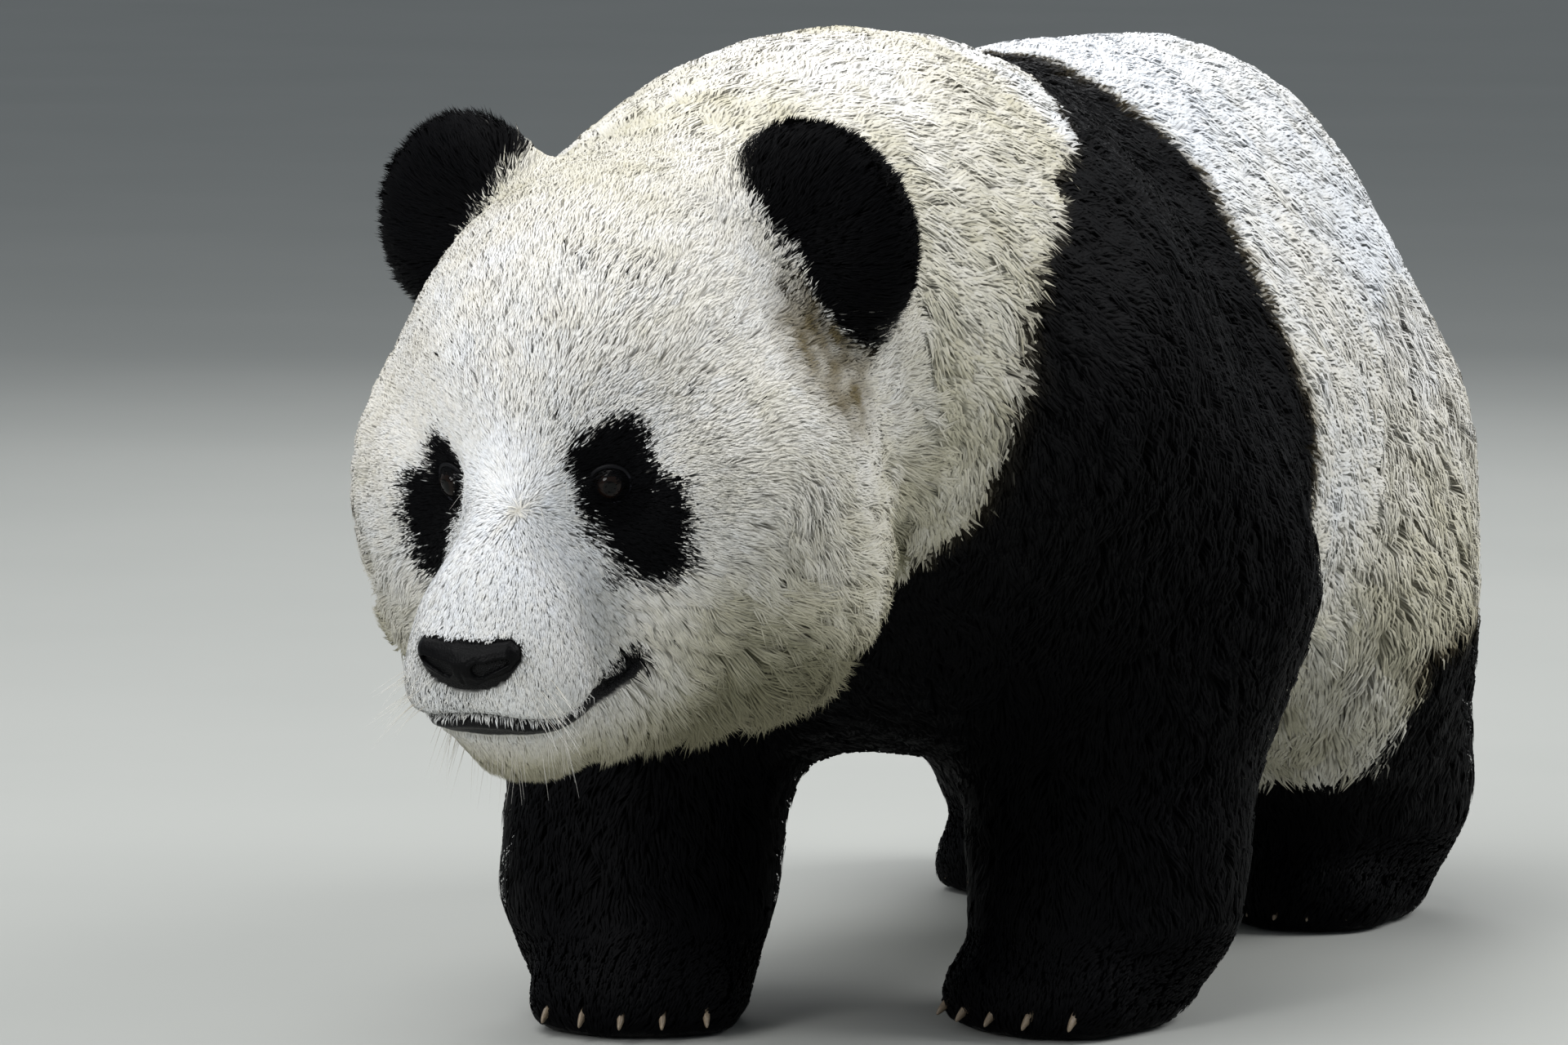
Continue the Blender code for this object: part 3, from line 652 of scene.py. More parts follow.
def underfur_and_skin(tree):
    # underfur combed in streaks about 1.5 mm apart, darkened between the streaks by painted shade as under
    # the coat, and the bare pebbled skin of lips and soles
    bare = add(tree, "Attribute", attribute_name="bare")["Fac"]
    where = add(tree, "TexCoord")["Object"]
    combed = [1 / (size * MM) for size in (1.54, 8.33, 2.50)]
    stretch = add(tree, "Mapping", {"Vector": where, "Scale": combed})[0]
    streaks = add(tree, "TexNoise", {"Vector": stretch, "Scale": 1.0, "Detail": 3.0})[0]
    pebbles = add(tree, "TexVoronoi", {"Vector": where, "Scale": 1 / (1.11 * MM)})[0]
    between = add(tree, "MapRange", {0: streaks, 1: 0.35, 2: 0.7, 3: 0.30, 4: 0.0})[0]
    # painted shade: the skin darkens between the underfur's streaks, as under the coat
    underfur_shade = {0: between, 6: coat_colours(tree), 7: linear("#8C846E")}
    colour = add(tree, "Mix", underfur_shade, data_type="RGBA", blend_type="MULTIPLY")[2]
    colour = add(tree, "Mix", {0: bare, 6: colour, 7: linear(COLOURS["bare skin"])}, data_type="RGBA")[2]
    rough = add(tree, "MapRange", {0: bare, 3: 0.85, 4: 0.42})[0]
    height = add(tree, "Mix", {0: bare, 2: streaks, 3: pebbles})[0]
    bump = add(tree, "Bump", {"Strength": 0.6, "Distance": 1.2 * MM, "Height": height})[0]
    return {"Base Color": colour, "Roughness": rough, "Specular IOR Level": 0.14, "Normal": bump}


# ---------------------------------------------------------------- marks and painted shade on the skin
def unwrap(obj, name):
    """Unwraps the skin's own shape into a UV map."""
    obj.data.uv_layers.active = obj.data.uv_layers.new(name=name)
    only(obj)
    bpy.ops.object.mode_set(mode="EDIT")
    bpy.ops.mesh.select_all(action="SELECT")
    bpy.ops.uv.smart_project(angle_limit=math.radians(70), island_margin=0.004, correct_aspect=False)
    bpy.ops.object.mode_set(mode="OBJECT")


def pad_distance(points):
    """Distance from the nose pad, below 0 inside it, for the points about it."""
    out = np.full(len(points), FAR)
    tree = tree_of(nodes["nose"].data)[0]
    for i in np.where(distance(to_head(points), NOSE_AT) < 0.07)[0]:
        place, normal, _, away = tree.find_nearest(points[i])
        out[i] = away if (Vector(points[i]) - place).dot(normal) > 0 else -away
    return out


weights = region_weights(skin.data, 4)
skin_co = coordinates(skin.data)
skin_n = unit(spread(edges_of(skin.data), normals(skin.data), 4))
skin_h = to_head(skin_co)
SKIN_TREE, SKIN_FACES = tree_of(skin.data)
off_pad = pad_distance(skin_co)
lip_gap, above_lips, corner = lip_frame(skin_h, near_features(skin_h))

# bare: the lips, the skin round the nose pad and the soles; dusky: thin hair by lips and pad
lower_lip = fade(lip_gap, 0.0265 - 0.0185 * corner, 0.0235 - 0.0185 * corner) * (above_lips < 0)
around_nose = distance(skin_h, NOSE_AT + (0, 0.004, -0.003), (0.034, 0.030, 0.0155))
soles = (skin_co[:, 2] < 0.016) & (skin_n[:, 2] < -0.5)
bare = np.max([lower_lip, fade(lip_gap, 0.0055, 0.0040), fade(off_pad, 0.0024, 0.0012),
               fade(around_nose, 1.04, 0.96), soles], axis=0)
under_pad = fade(skin_h[:, 2], NOSE_AT[2] + 0.004, NOSE_AT[2] - 0.008)
dusky = np.maximum(0.55 * fade(lip_gap, 0.022, 0.006), 0.5 * fade(off_pad, 0.011, 0.002) * under_pad)

black = black_of(skin_co, weights)
marks_and_shade = [fade(black, -0.005, 0.005), tone_and_shade_of(skin_co, weights), tan_and_shadow_of(skin_co, weights, black),
         np.full(len(skin_co), 0.5)]
give(skin.data, "marks_and_shade", np.stack(marks_and_shade, axis=1), "FLOAT_COLOR")
# the skin takes part of the painted shade of the locks' roots
give(skin.data, "along", np.full(len(skin_co), 0.32))
give(skin.data, "bare", np.maximum(bare, dusky))
unwrap(skin, "OFBake")
skin.data.materials.append(material("panda underfur and skin", underfur_and_skin))
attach(skin, "root")
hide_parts(*FLESH)


# ---------------------------------------------------------------- the coat
# a lock has five corners: two at its root, two midway and its tip
LOCK_FACES = np.array(((0, 1, 3), (0, 3, 2), (2, 3, 4)))
LOCK_ALONG = (0.0, 0.0, 0.5, 0.5, 1.0)
LOCK_PATCH = 0.003 * (np.array(((0, 0), (1, 0), (0, 0.5), (1, 0.5), (0.5, 1))) - 0.5)  # on the skin's map
ROOT_DEPTH, FLOOR_GAP = 0.6 * MM, 1.5 * MM  # how far roots lie under the skin, and tips stay off the floor

length, width, lock_count = lock_sizes(skin_co, weights)
lock_count *= 1 - fade(bare, 0.3, 0.7)
length *= 1 - 0.76 * bell(lip_gap, 0.0095) * (above_lips > 0)
length *= 1 - 0.62 * bell(np.maximum(off_pad, 0), 0.007)
lock_shape = np.stack([length, width, coat_depth(skin_co, weights)], axis=1)
COAT = material("panda hair", guard_hair)

# the skin's map at the corners of each of its triangles
triangles = skin.data.loop_triangles
skin_uv = read(skin.data.uv_layers["OFBake"].uv, "vector", 2)[read(triangles, "loops", 3, np.int32)]


def lock_roots(chosen, draw):
    """Places spread over the chosen triangles: for each its triangle and the shares of the three corners."""
    tri = SKIN_FACES[chosen]
    corners = skin_co[tri]
    area = np.linalg.norm(np.cross(corners[:, 1] - corners[:, 0], corners[:, 2] - corners[:, 0]), axis=1) / 2
    total = np.cumsum(area * lock_count[tri].mean(axis=1) * (1.0))
    count = int(total[-1])
    places = (np.arange(count) + draw.random()) / count * total[-1]
    which = np.minimum(np.searchsorted(total, places), len(tri) - 1)
    u, v = draw.random(count), draw.random(count)
    flip = u + v > 1
    u, v = np.where(flip, 1 - u, u), np.where(flip, 1 - v, v)
    return chosen[which], np.stack([1 - u - v, u, v], axis=1)


def clumped(root, size, draw):
    """Leaders, about one to each size locks, and for every root the place of its leader in that list."""
    leaders = np.where(draw.random(len(root)) < 1 / size)[0]
    finder = kdtree.KDTree(len(leaders))
    for i, p in enumerate(root[leaders].tolist()):
        finder.insert(p, i)
    finder.balance()
    return leaders, np.array([finder.find(p)[1] for p in root.tolist()])


def nearest(points):
    """The skin's nearest place for each point, and its normal there."""
    place, which = np.empty_like(points), np.empty(len(points), int)
    for i, p in enumerate(points.tolist()):
        place[i], _, which[i], _ = SKIN_TREE.find_nearest(p)
    return place, unit(skin_n[SKIN_FACES[which]].mean(axis=1))


def stood(at, high, n, limit):
    """Points at a height over the skin's nearest place, or along n past the limit, and their normals."""
    place, out = nearest(at)
    near = (np.linalg.norm(place - at, axis=1) < limit)[:, None]
    points = np.where(near, place + out * high[:, None], at + n * high[:, None])
    points[:, 2] = np.maximum(points[:, 2], FLOOR_GAP)
    return points, np.where(near, out, n)


def lock_mesh(name, points, shown, uv):
    """A mesh of five-cornered locks with their own normals and their patch of the map."""
    count = len(points)
    faces = (np.arange(count)[:, None, None] * 5 + LOCK_FACES).reshape(-1, 3)
    mesh = bpy.data.meshes.new(name)
    mesh.vertices.add(count * 5)
    mesh.vertices.foreach_set("co", points.astype(np.float32).ravel())
    mesh.loops.add(len(faces) * 3)
    mesh.loops.foreach_set("vertex_index", faces.astype(np.int32).ravel())
    mesh.polygons.add(len(faces))
    mesh.polygons.foreach_set("loop_start", np.arange(0, len(faces) * 3, 3, dtype=np.int32))
    mesh.polygons.foreach_set("use_smooth", np.ones(len(faces), bool))
    mesh.update(calc_edges=True)
    uv = (uv[:, None] + LOCK_PATCH).reshape(-1, 2)
    mesh.uv_layers.new(name="OFBake").uv.foreach_set("vector", uv[faces.ravel()].astype(np.float32).ravel())
    mesh.normals_split_custom_set_from_vertices(shown.reshape(-1, 3).astype(np.float32))
    return mesh


def coat_piece(name, chosen, seed):
    """Tapered locks over the chosen triangles of the skin, as one mesh."""
    draw = np.random.default_rng(seed)
    triangle, share = lock_roots(chosen, draw)

    def at_root(values):
        return (values[SKIN_FACES[triangle]] * share[..., None]).sum(axis=1)

    root, n, w = at_root(skin_co), unit(at_root(skin_n)), at_root(weights)
    length, width, depth = at_root(lock_shape).T
    count = len(root)
    ease = fade(length, 0.010, 0.035)

    # locks gather in clumps, the largest on the cheeks and under the jaw
    h = to_head(root)
    shag = share_of(w, *HEAD) * fade(h[:, 2], -0.03, -0.10) * fade(h[:, 1], -0.23, -0.15)
    leaders, clump = clumped(root, 12 + 12 * fade(length, 0.014, 0.026) + 22 * shag, draw)
    turn = waves(root, 0.07, 11) * 0.18 + (ease * 0.26 + 0.16 * shag) * waves(root, 0.026, 12)
    turn += draw.normal(0, 0.12, count) + draw.normal(0, 0.15, len(leaders))[clump]
    ways = rotated(lie(root, n, w), n, turn * (0.6 + 0.5 * ease))

    # a lock's length and how high it stands, partly its clump's and partly its own
    long = length * (0.86 + 0.22 * draw.random(len(leaders)))[clump] * (0.82 + 0.30 * draw.random(count))
    raised = draw.random(len(leaders))[clump]
    lift = (0.88 + 0.16 * raised - 0.30 * shag * (1 - raised)) * (0.87 + 0.16 * draw.random(count))
    lift *= 1 + ease * (0.12 * waves(root, 0.030, 13) + 0.06 * waves(root, 0.014, 14))
    high = depth * np.clip(lift, 0.35, 1.04)
    reach = np.sqrt(np.maximum(long**2 - high**2, (0.4 * long) ** 2))

    # it arches over: midway it is as high as its tip, and the tip is drawn towards its leader's
    pull = along_skin(root[leaders][clump] - root, n)
    off = np.linalg.norm(pull, axis=1)
    off = off / np.maximum(off.mean(), 1e-6)
    pull *= np.minimum(0.26 + 0.20 * ease + 0.46 * shag, 0.88)[:, None]
    ragged = 0.88 + (0.06 + 0.50 * share_of(w, "ear") + 0.34 * shag) * draw.random(count)
    limit = np.where(share_of(w, "ear", "jaw") > 0.5, 0.16, 0.6) * long
    middle, middle_n = stood(root + ways * (reach * 0.48)[:, None] + pull * 0.40, high * 0.96, n, limit)
    tip, tip_n = stood(root + ways * reach[:, None] + pull, high * ragged, n, limit)

    # its two edges, rolled a little about its own line; normals bent outwards, so that it looks round
    across = unit(np.cross(ways, n))
    roll = draw.normal(0, 0.16, count)
    over = unit(np.cross(across, ways))
    across = across * np.cos(roll)[:, None] + over * np.sin(roll)[:, None]
    half = (width * 0.5)[:, None] * across
    base = root - n * ROOT_DEPTH
    points = np.stack([base - half * 0.8, base + half * 0.8, middle - half, middle + half, tip], axis=1)
    own = ways * draw.normal(0.06, 0.09, count)[:, None] + across * draw.normal(0, 0.09, count)[:, None]
    bend = 0.25 * across
    base_n, middle_n, tip_n = n + own, middle_n + own, tip_n + own
    shown = np.stack([unit(base_n - bend), unit(base_n + bend), unit(middle_n - bend), unit(middle_n + bend),
                      unit(tip_n + ways * 0.2)], axis=1)
    uv = (skin_uv[triangle] * share[..., None]).sum(axis=1)
    mesh = lock_mesh(name, points, shown, uv)

    # marks of each lock: its tone from its root, black and tan from past its middle, and its own draw with
    # painted shade on locks far from their clump's leader
    coloured_at = root + ways * (0.6 * reach)[:, None]
    black = black_of(coloured_at, w)
    tan = tan_and_shadow_of(coloured_at, w, black)
    black = fade(black + draw.normal(0, 0.0042, count), -0.0030, 0.0030)
    draw_and_clump_shade = 0.35 * draw.random(count) + 0.25 * draw.random(len(leaders))[clump]
    # painted shade: locks far from their clump's leader, in the gaps between clumps, are darker
    draw_and_clump_shade += 0.40 * (1 - 0.5 * np.clip(off, 0, 2))
    tone = tone_and_shade_of(root, w) + draw.normal(0, 0.03, count) + draw.normal(0, 0.03, len(leaders))[clump]
    marks_and_shade = np.stack([black, np.clip(tone, 0, 1), tan, draw_and_clump_shade], axis=1)
    give(mesh, "marks_and_shade", np.repeat(marks_and_shade, 5, axis=0), "FLOAT_COLOR")
    give(mesh, "along", np.tile(LOCK_ALONG, count))
    made = new_object(name, mesh)
    mesh.materials.append(COAT)
    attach(made, "root")


def make_coat():
    """Twelve pieces, each of one part of the body and, but for ears and neck, of one side."""
    kind = weights[SKIN_FACES].mean(axis=1).argmax(axis=1)
    middle = skin_co[SKIN_FACES].mean(axis=1)
    front = to_head(middle)[:, 1] < -0.06
    head_left, body_left = middle[:, 0] > HEAD_AT[0], middle[:, 0] > 0

    def among(*names):
        return np.isin(kind, [KINDS.index(name) for name in names])

    parts = (
        ("coat_face", among(*HEAD) & front, head_left, "white_coat"),
        ("coat_crown", among(*HEAD) & ~front, head_left, "white_coat"),
        ("coat_ears", among("ear"), None, "black_coat"),
        ("coat_neck", among("neck"), None, "white_coat"),
        ("coat_trunk", among("trunk", "tail"), body_left, "white_coat"),
        ("coat_foreleg", among(*FORELIMB), body_left, "black_coat"),
        ("coat_hindleg", among(*HINDLIMB), body_left, "black_coat"),
    )
    pieces = []
    for name, chosen, left, slot in parts:
        if left is None:
            pieces.append((name, chosen, slot))
        else:
            pieces += [(name + "_left", chosen & left, slot), (name + "_right", chosen & ~left, slot)]
    for seed, (name, chosen, slot) in enumerate(pieces, 100):
        coat_piece(name, np.where(chosen)[0], seed)


make_coat()


# ---------------------------------------------------------------- eyes and lids
# degrees from the middle of the gaze for the rings of an eye: close over the cornea, wider behind
GLOBE_RINGS = (1, 6, 12, 18, 24, 30, 36, 42, 50, 60, 72, 86, 100, 115, 130, 145, 160, 175)
AROUND = 48  # points to a ring
SPIN = np.linspace(0, math.tau, AROUND, endpoint=False)  # from the inner corner of the eye, up and over

OPENING_ACROSS, OPENING_ABOVE, OPENING_BELOW = 61.0, 53.0, 57.0  # half of it, in degrees about the eye
# rings of a lid: degrees past its edge, mm out from the eye, mm more on the upper lid, and paleness of its
# painted wet reflection
LID_RINGS = ((7, -1.2, 0, 0), (0, 0.3, 0, 0.4), (-1.5, 1.0, 0, 1.0), (1.5, 1.9, 0, 0.8),
             (5, 2.1, 0.7, 0.1), (9, 1.6, 0, 0), (14, 1.0, -0.6, 0), (20, 1.6, 0.7, 0))
# rings that lead it into the skin: mm from the middle of the eye, and mm below the skin
LID_SKIRT = ((18.5, -0.2), (22.5, 0.6), (26.5, 2.2))


def eye_frame(side):
    """The gaze, and the ways that stand out from it all round, one for each of SPIN."""
    gaze = gaze_of(side)
    inner = HEAD_TURN @ np.array((-SIDES[side], 0, 0))
    inner = unit(inner - gaze * (inner @ gaze))
    above = np.cross(inner, gaze) * SIDES[side]
    return gaze, np.cos(SPIN)[:, None] * inner + np.sin(SPIN)[:, None] * above


def quads(rings, around, base=0):
    """Faces between rings of points, each ring joined to the next."""
    faces = []
    for first in range(base, base + (rings - 1) * around, around):
        for k in range(around):
            a, b = first + k, first + (k + 1) % around
            faces.append((a, b, b + around, a + around))
    return faces


def ringed(name, rings, closed=False):
    """A mesh from rings of points, each joined to the next, with the two ends closed or open."""
    count = len(rings[0])
    faces = quads(len(rings), count)
    if closed:
        last = (len(rings) - 1) * count
        faces += [tuple(range(count - 1, -1, -1)), tuple(range(last, last + count))]
    mesh = bpy.data.meshes.new(name)
    mesh.from_pydata(np.concatenate(rings).tolist(), [], faces)
    net = bmesh.new()
    net.from_mesh(mesh)
    bmesh.ops.recalc_face_normals(net, faces=net.faces)
    net.to_mesh(mesh)
    net.free()
    mesh.shade_smooth()
    return new_object(name, mesh)


def wet_eye(tree):
    # a brown-black iris with fine fibres under a wet, glossy cornea
    rim = add(tree, "Attribute", attribute_name="rim")["Fac"]
    spin = add(tree, "Attribute", attribute_name="spin")["Fac"]
    at = add(tree, "CombineXYZ", {0: spin, 1: rim})[0]
    rays = add(tree, "Mapping", {"Vector": at, "Scale": (60, 2, 1)})[0]  # 60 fibres to a radian
    fibres = add(tree, "TexNoise", {"Vector": rays, "Scale": 1.0, "Detail": 2.0})[0]
    iris = add(tree, "Mix", {0: fibres, 6: linear("#0B0605"), 7: linear("#1A100A")}, data_type="RGBA")[2]
    colour = linear("#020202")
    # degrees from the middle at which the pupil gives way to the iris, its dark edge and the white
    for low, high, ring in ((17, 19, iris), (33, 40, linear("#070504")), (46, 54, linear("#120C09"))):
        amount = add(tree, "MapRange", {0: rim, 1: low, 2: high})[0]
        colour = add(tree, "Mix", {0: amount, 6: colour, 7: ring}, data_type="RGBA")[2]
    return {"Base Color": colour, "Roughness": 0.06, "IOR": 1.4, "Specular IOR Level": 0.12,
            "Coat Weight": 0.18, "Coat Roughness": 0.02}


def lid_skin(tree):
    # thin bare black skin, finely grained, with a pale painted reflection of wetness along its rim
    rim = add(tree, "Attribute", attribute_name="rim")["Fac"]
    where = add(tree, "TexCoord")["Object"]
    grain = add(tree, "TexNoise", {"Vector": where, "Scale": 1 / (1.11 * MM), "Detail": 2.0})[0]
    colour = add(tree, "Mix", {0: rim, 6: linear("#040405"), 7: linear("#34343C")}, data_type="RGBA")[2]
    bump = add(tree, "Bump", {"Strength": 0.4, "Distance": 0.6 * MM, "Height": grain})[0]
    return {"Base Color": colour, "Roughness": 0.5, "Specular IOR Level": 0.12, "Normal": bump}


WET_EYE, LID_SKIN = material("panda eye", wet_eye), material("panda eyelid", lid_skin)


def make_globe(side):
    gaze, ray = eye_frame(side)
    rings = []
    for angle in GLOBE_RINGS:
        radius = EYE_RADIUS - 0.0004 + 0.0011 * (1 - fade(angle, 22, 46))  # the cornea bulges
        a = math.radians(angle)
        rings.append(EYES[side] + radius * (math.cos(a) * gaze + math.sin(a) * ray))
    eye = ringed("eye_globe_" + side, rings, closed=True)
    give(eye.data, "rim", np.repeat(GLOBE_RINGS, AROUND))
    give(eye.data, "spin", np.tile(SPIN, len(rings)))
    eye.data.materials.append(WET_EYE)
    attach(eye, "root")
    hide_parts("eye_" + side)


def make_lids(side):
    """Both lids as one ring: an opening a little wider than high, drawn out to the inner corner."""
    middle = EYES[side]
    gaze, ray = eye_frame(side)
    c, s = np.cos(SPIN), np.sin(SPIN)
    tall = np.where(s > 0, OPENING_ABOVE, OPENING_BELOW)
    opening = 1 / np.sqrt((c / OPENING_ACROSS) ** 2 + (s / tall) ** 2) + 8.0 * np.maximum(c, 0) ** 10
    upper = fade(s, 0.0, 0.6)
    # painted reflection: the wet rim is palest low on the outer side
    painted_wet_shine = 0.12 + 0.88 * fade(-s - 0.5 * c, -0.2, 0.9)
    rings, pale = [], []
    for past, out, more, tint in LID_RINGS:
        a = np.radians(opening + past)
        r = EYE_RADIUS + MM * (out + more * upper)
        rings.append(middle + r[:, None] * (np.cos(a)[:, None] * gaze + np.sin(a)[:, None] * ray))
        pale.append(tint * painted_wet_shine)
    for wide, sunk in LID_SKIRT:
        ring = []
        for k in range(AROUND):
            start = middle + ray[k] * wide * MM + gaze * 0.05
            hit = SKIN_TREE.ray_cast(Vector(start), Vector(-gaze), 0.1)[0]
            at = np.array(hit) if hit is not None else start - gaze * 0.045
            if len(rings) == len(LID_RINGS):  # the first lies halfway to the lid
                at = at * 0.5 + 0.5 * (rings[-1][k] + ray[k] * 0.003)
            ring.append(at - gaze * sunk * MM)
        rings.append(np.array(ring))
        pale.append(np.zeros(AROUND))
    lid = ringed("lids_" + side, rings)
    give(lid.data, "rim", np.concatenate(pale))
    lid.data.materials.append(LID_SKIN)
    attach(lid, "root")


for side in SIDES:
    make_globe(side)
    make_lids(side)


# ---------------------------------------------------------------- nose
NOSTRIL = ((0.0120, 0, 0.0004), (0.0300, 0, 0.0048))  # its slit from the inner to the outer end, from NOSE_AT
NOSTRIL_DEPTH, BRIM = 11.0 * MM, 0.4 * MM


def nose_leather(tree):
    # moist hairless skin: fine pebbles about 1.3 mm across, with faint clouds of about 11 mm
    where = add(tree, "TexCoord")["Object"]
    pebbles = add(tree, "TexVoronoi", {"Vector": where, "Scale": 1 / (1.32 * MM)}, feature="SMOOTH_F1")[0]
    cloudy = add(tree, "TexNoise", {"Vector": where, "Scale": 1 / (11.1 * MM), "Detail": 3.0})[0]
    colour = add(tree, "Mix", {0: cloudy, 6: linear("#040405"), 7: linear("#0A0A0B")}, data_type="RGBA")[2]
    rough = add(tree, "MapRange", {0: cloudy, 1: 0.3, 2: 0.7, 3: 0.38, 4: 0.52})[0]
    bump = add(tree, "Bump", {"Strength": 0.40, "Distance": 0.6 * MM, "Height": pebbles}, invert=True)[0]
    return {"Base Color": colour, "Roughness": rough, "Specular IOR Level": 0.07, "Normal": bump}


def make_nose():
    """The nose pad with its two nostrils and the groove between them."""
    nose = shell("nose_pad", ["nose"], 0.0)
    apply(nose, "REMESH", mode="VOXEL", voxel_size=0.9 * MM)
    smoothed(nose.data, 8)
    co = coordinates(nose.data)
    h = to_head(co) - NOSE_AT
    front = fade(h[:, 1], 0.004, -0.004)
    inward, brimward = HEAD_TURN @ (0, 1, 0), HEAD_TURN @ (0, -1, 0.3)
    for s in (-1, 1):
        gap, t = segment_gap(h * (1, 0, 1), *(np.array(NOSTRIL) * (s, 1, 1)))
        opening = 0.0046 - 0.0022 * t
        deep = NOSTRIL_DEPTH * fade(gap, opening + 0.0006, opening - 0.0018) * front * (1 - 0.35 * t)
        co += np.outer(deep, inward) + np.outer(BRIM * bell(gap - opening - 0.0018, 0.0014) * front, brimward)
    groove = 0.0009 * bell(h[:, 0], 0.0012) * fade(h[:, 2], 0.004, -0.004) * (h[:, 1] < 0)
    move_to(nose.data, co + np.outer(groove, inward))
    smoothed(nose.data, 2)
    nose.data.shade_smooth()
    nose.data.materials.append(material("panda nose leather", nose_leather))
    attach(nose, "root")
    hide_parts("nose")


make_nose()


# ---------------------------------------------------------------- claws
def claw_horn(tree):
    # horn grown in long fine lines, 1 to 2 mm apart, dark brown to pale
    where = add(tree, "TexCoord")["Object"]
    grown = [1 / (size * MM) for size in (1.11, 16.7, 2.0)]
    stretch = add(tree, "Mapping", {"Vector": where, "Scale": grown})[0]
    lines = add(tree, "TexNoise", {"Vector": stretch, "Scale": 1.0, "Detail": 3.0})[0]
    colour = add(tree, "Mix", {0: lines, 6: linear("#4A3E33"), 7: linear("#9A8A74")}, data_type="RGBA")[2]
    bump = add(tree, "Bump", {"Strength": 0.3, "Distance": 0.4 * MM, "Height": lines})[0]
    return {"Base Color": colour, "Roughness": 0.38, "Normal": bump}


HORN = material("claw horn", claw_horn)
for paw in ("fore_left", "fore_right", "hind_left", "hind_right"):
    names = [f"claw_{paw}_{i}" for i in range(1, 6)]
    claws = shell("claws_" + paw, names, 0.0004)
    apply(claws, "SUBSURF", levels=2, render_levels=2)
    claws.data.shade_smooth()
    claws.data.materials.append(HORN)
    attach(claws, "root")
    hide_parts(*names)


# ---------------------------------------------------------------- whiskers
STRAND_RINGS = 7
WHISKER_RADIUS = 0.22 * MM


def whisker_hair(tree):
    # a stiff pale hair, creamier at the root
    along = add(tree, "Attribute", attribute_name="along")["Fac"]
    colour = add(tree, "Mix", {0: along, 6: linear("#B9B3A6"), 7: linear("#F0EEE8")}, data_type="RGBA")[2]
    return {"Base Color": colour, "Roughness": 0.45}


def strand(root, way, length, droop):
    """Points of a three-sided tapered hair that starts under the skin and bends down."""
    side = unit(np.cross(way, (0.1, 0.2, 1.0)))
    points = []
    for t in np.linspace(0, 1, STRAND_RINGS):
        middle = root + way * length * (t - 0.04) + np.array((0, 0, -1.0)) * droop * length * t * t
        lean = unit(way + np.array((0, 0, -2.0 * droop * t)))
        over = unit(np.cross(side, lean))
        radius = WHISKER_RADIUS * (1 - 0.85 * t)
        for a in np.arange(3) * math.tau / 3:
            points.append(middle + radius * (math.cos(a) * side + math.sin(a) * over))
    return points


def whisker_plans(draw):
    """Where each whisker starts, the way it goes, both in the head's frame, and its length."""
    plans = []
    for _ in range(44):  # chin
        x, z = draw.uniform(-0.060, 0.066), draw.uniform(-0.172, -0.142)
        plans.append(((x, -0.24, z), (x * 6, -0.45, -0.9), draw.uniform(0.018, 0.040)))
    for s in (-1, 1):
        for _ in range(26):  # upper lip
            x, z = draw.uniform(0.034, 0.066), draw.uniform(-0.116, -0.088)
            way = (s * (0.35 + x * 9), -0.55, -0.45)
            plans.append(((s * x, -0.25, z), way, draw.uniform(0.018, 0.044)))
        for _ in range(4):  # above the eye
            start = (s * draw.uniform(0.048, 0.072), -0.19, draw.uniform(0.026, 0.036))
            plans.append((start, (s * draw.uniform(-0.3, 0.5), -0.8, -0.5), draw.uniform(0.020, 0.034)))
    plans.append(((0.052, -0.19, 0.038), (0.10, -0.55, -0.80), 0.046))
    return plans


def make_whiskers():
    draw = np.random.default_rng(51)
    points, faces = [], []
    for start, way, length in whisker_plans(draw):
        root = np.array(SKIN_TREE.find_nearest(from_head(start).tolist())[0])
        way = unit(HEAD_TURN @ (np.array(way) + draw.normal(0, 0.10, 3)))
        faces += quads(STRAND_RINGS, 3, len(points))
        points += strand(root, way, length, draw.uniform(0.02, 0.22))
    mesh = bpy.data.meshes.new("whiskers")
    mesh.from_pydata(points, [], faces)
    mesh.shade_smooth()
    ramp = np.repeat(np.linspace(0, 1, STRAND_RINGS), 3)
    give(mesh, "along", np.tile(ramp, len(points) // len(ramp)))
    made = new_object("whiskers", mesh)
    mesh.materials.append(material("panda whisker", whisker_hair))
    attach(made, "root")


make_whiskers()


# ---------------------------------------------------------------- floor, light and camera
AZIMUTH, ELEVATION, DISTANCE, LENS, SENSOR = 24.0, 6.0, 6.0, 202.5, 36.0
AIM_RIGHT, AIM_DOWN = 0.1178, 0.0872  # from the skull to the middle of the view

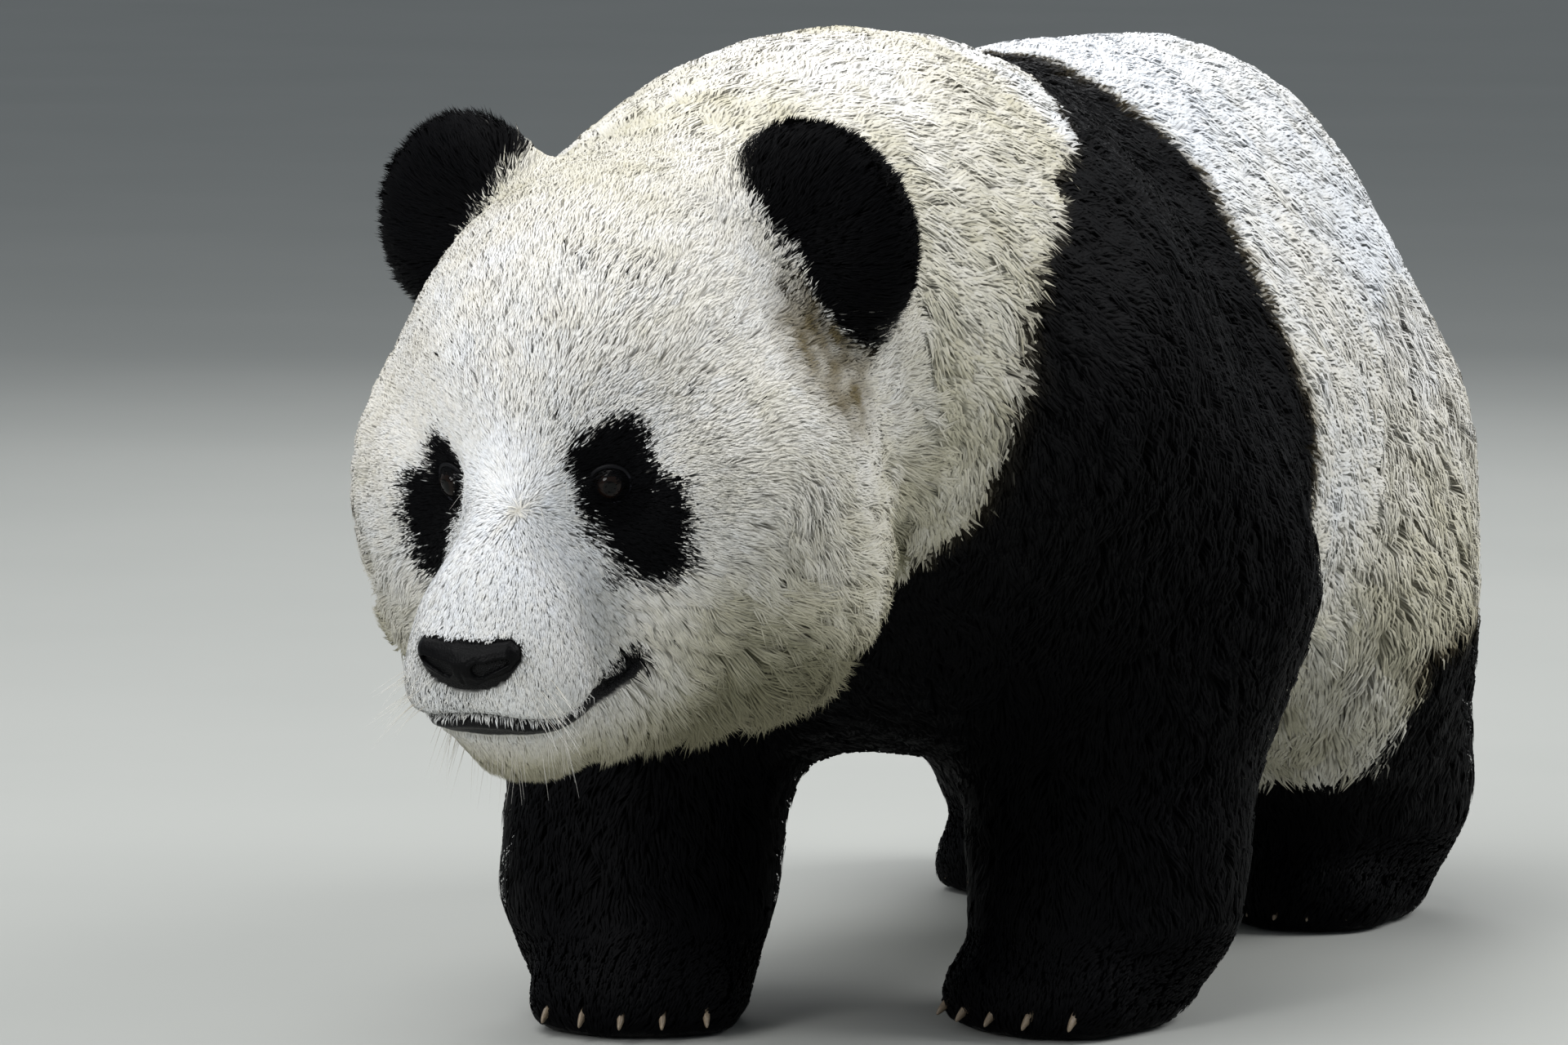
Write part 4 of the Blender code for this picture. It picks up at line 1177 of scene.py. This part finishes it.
# place, aim, width and watts
LIGHTS = {
    "light_above": ((-0.8, -1.0, 4.2), (0, -0.1, 0.4), 4.6, 185),
    "light_front": ((-1.0, -4.9, 2.4), (0, -0.2, 0.4), 2.4, 118),
    "light_side": ((3.2, 1.8, 3.0), (0, 0.2, 0.4), 2.8, 145),
    "light_back": ((-1.6, 3.8, 2.6), (0, 0.1, 0.4), 2.4, 50),
}


def floor_paint(tree):
    # matt paint with faint broad clouds
    where = add(tree, "TexCoord")["Object"]
    clouds = add(tree, "TexNoise", {"Vector": where, "Scale": 1.5, "Detail": 4.0})[0]
    colour = add(tree, "Mix", {0: clouds, 6: linear("#9FA19D"), 7: linear("#A9AAA6")}, data_type="RGBA")[2]
    return {"Base Color": colour, "Roughness": 0.9}


bpy.ops.mesh.primitive_circle_add(vertices=96, radius=40, fill_type="NGON", location=(0, 0, 0))
floor = bpy.context.object
floor.name = "floor"
floor.data.materials.append(material("pale studio floor", floor_paint))

for name, (at, toward, width, power) in LIGHTS.items():
    bpy.ops.object.light_add(type="AREA", location=at)
    light = bpy.context.object
    light.name = name
    light.data.shape = "DISK"
    light.data.size = width
    light.data.energy = power
    light.rotation_euler = (Vector(toward) - Vector(at)).to_track_quat("-Z", "Y").to_euler()

world = bpy.context.scene.world or bpy.data.worlds.new("studio")
bpy.context.scene.world = world
bpy.context.scene.view_settings.view_transform = "Standard"
world.use_nodes = True
background = world.node_tree.nodes["Background"].inputs
background["Color"].default_value = linear("#D8E0E8")
background["Strength"].default_value = 0.38

azimuth, elevation = math.radians(AZIMUTH), math.radians(ELEVATION)
back = Vector((math.sin(azimuth) * math.cos(elevation), -math.cos(azimuth) * math.cos(elevation),
               math.sin(elevation)))
right = Vector((math.cos(azimuth), math.sin(azimuth), 0))
above = back.cross(right)
aim = Vector(HEAD_AT) + AIM_RIGHT * right - AIM_DOWN * above
camera = bpy.data.objects.new("camera", bpy.data.cameras.new("camera"))
bpy.context.scene.collection.objects.link(camera)
camera.data.lens = LENS
camera.data.sensor_width = SENSOR
facing = Matrix((right, above, back)).transposed().to_4x4()
camera.matrix_world = Matrix.Translation(aim + DISTANCE * back) @ facing
bpy.context.scene.camera = camera
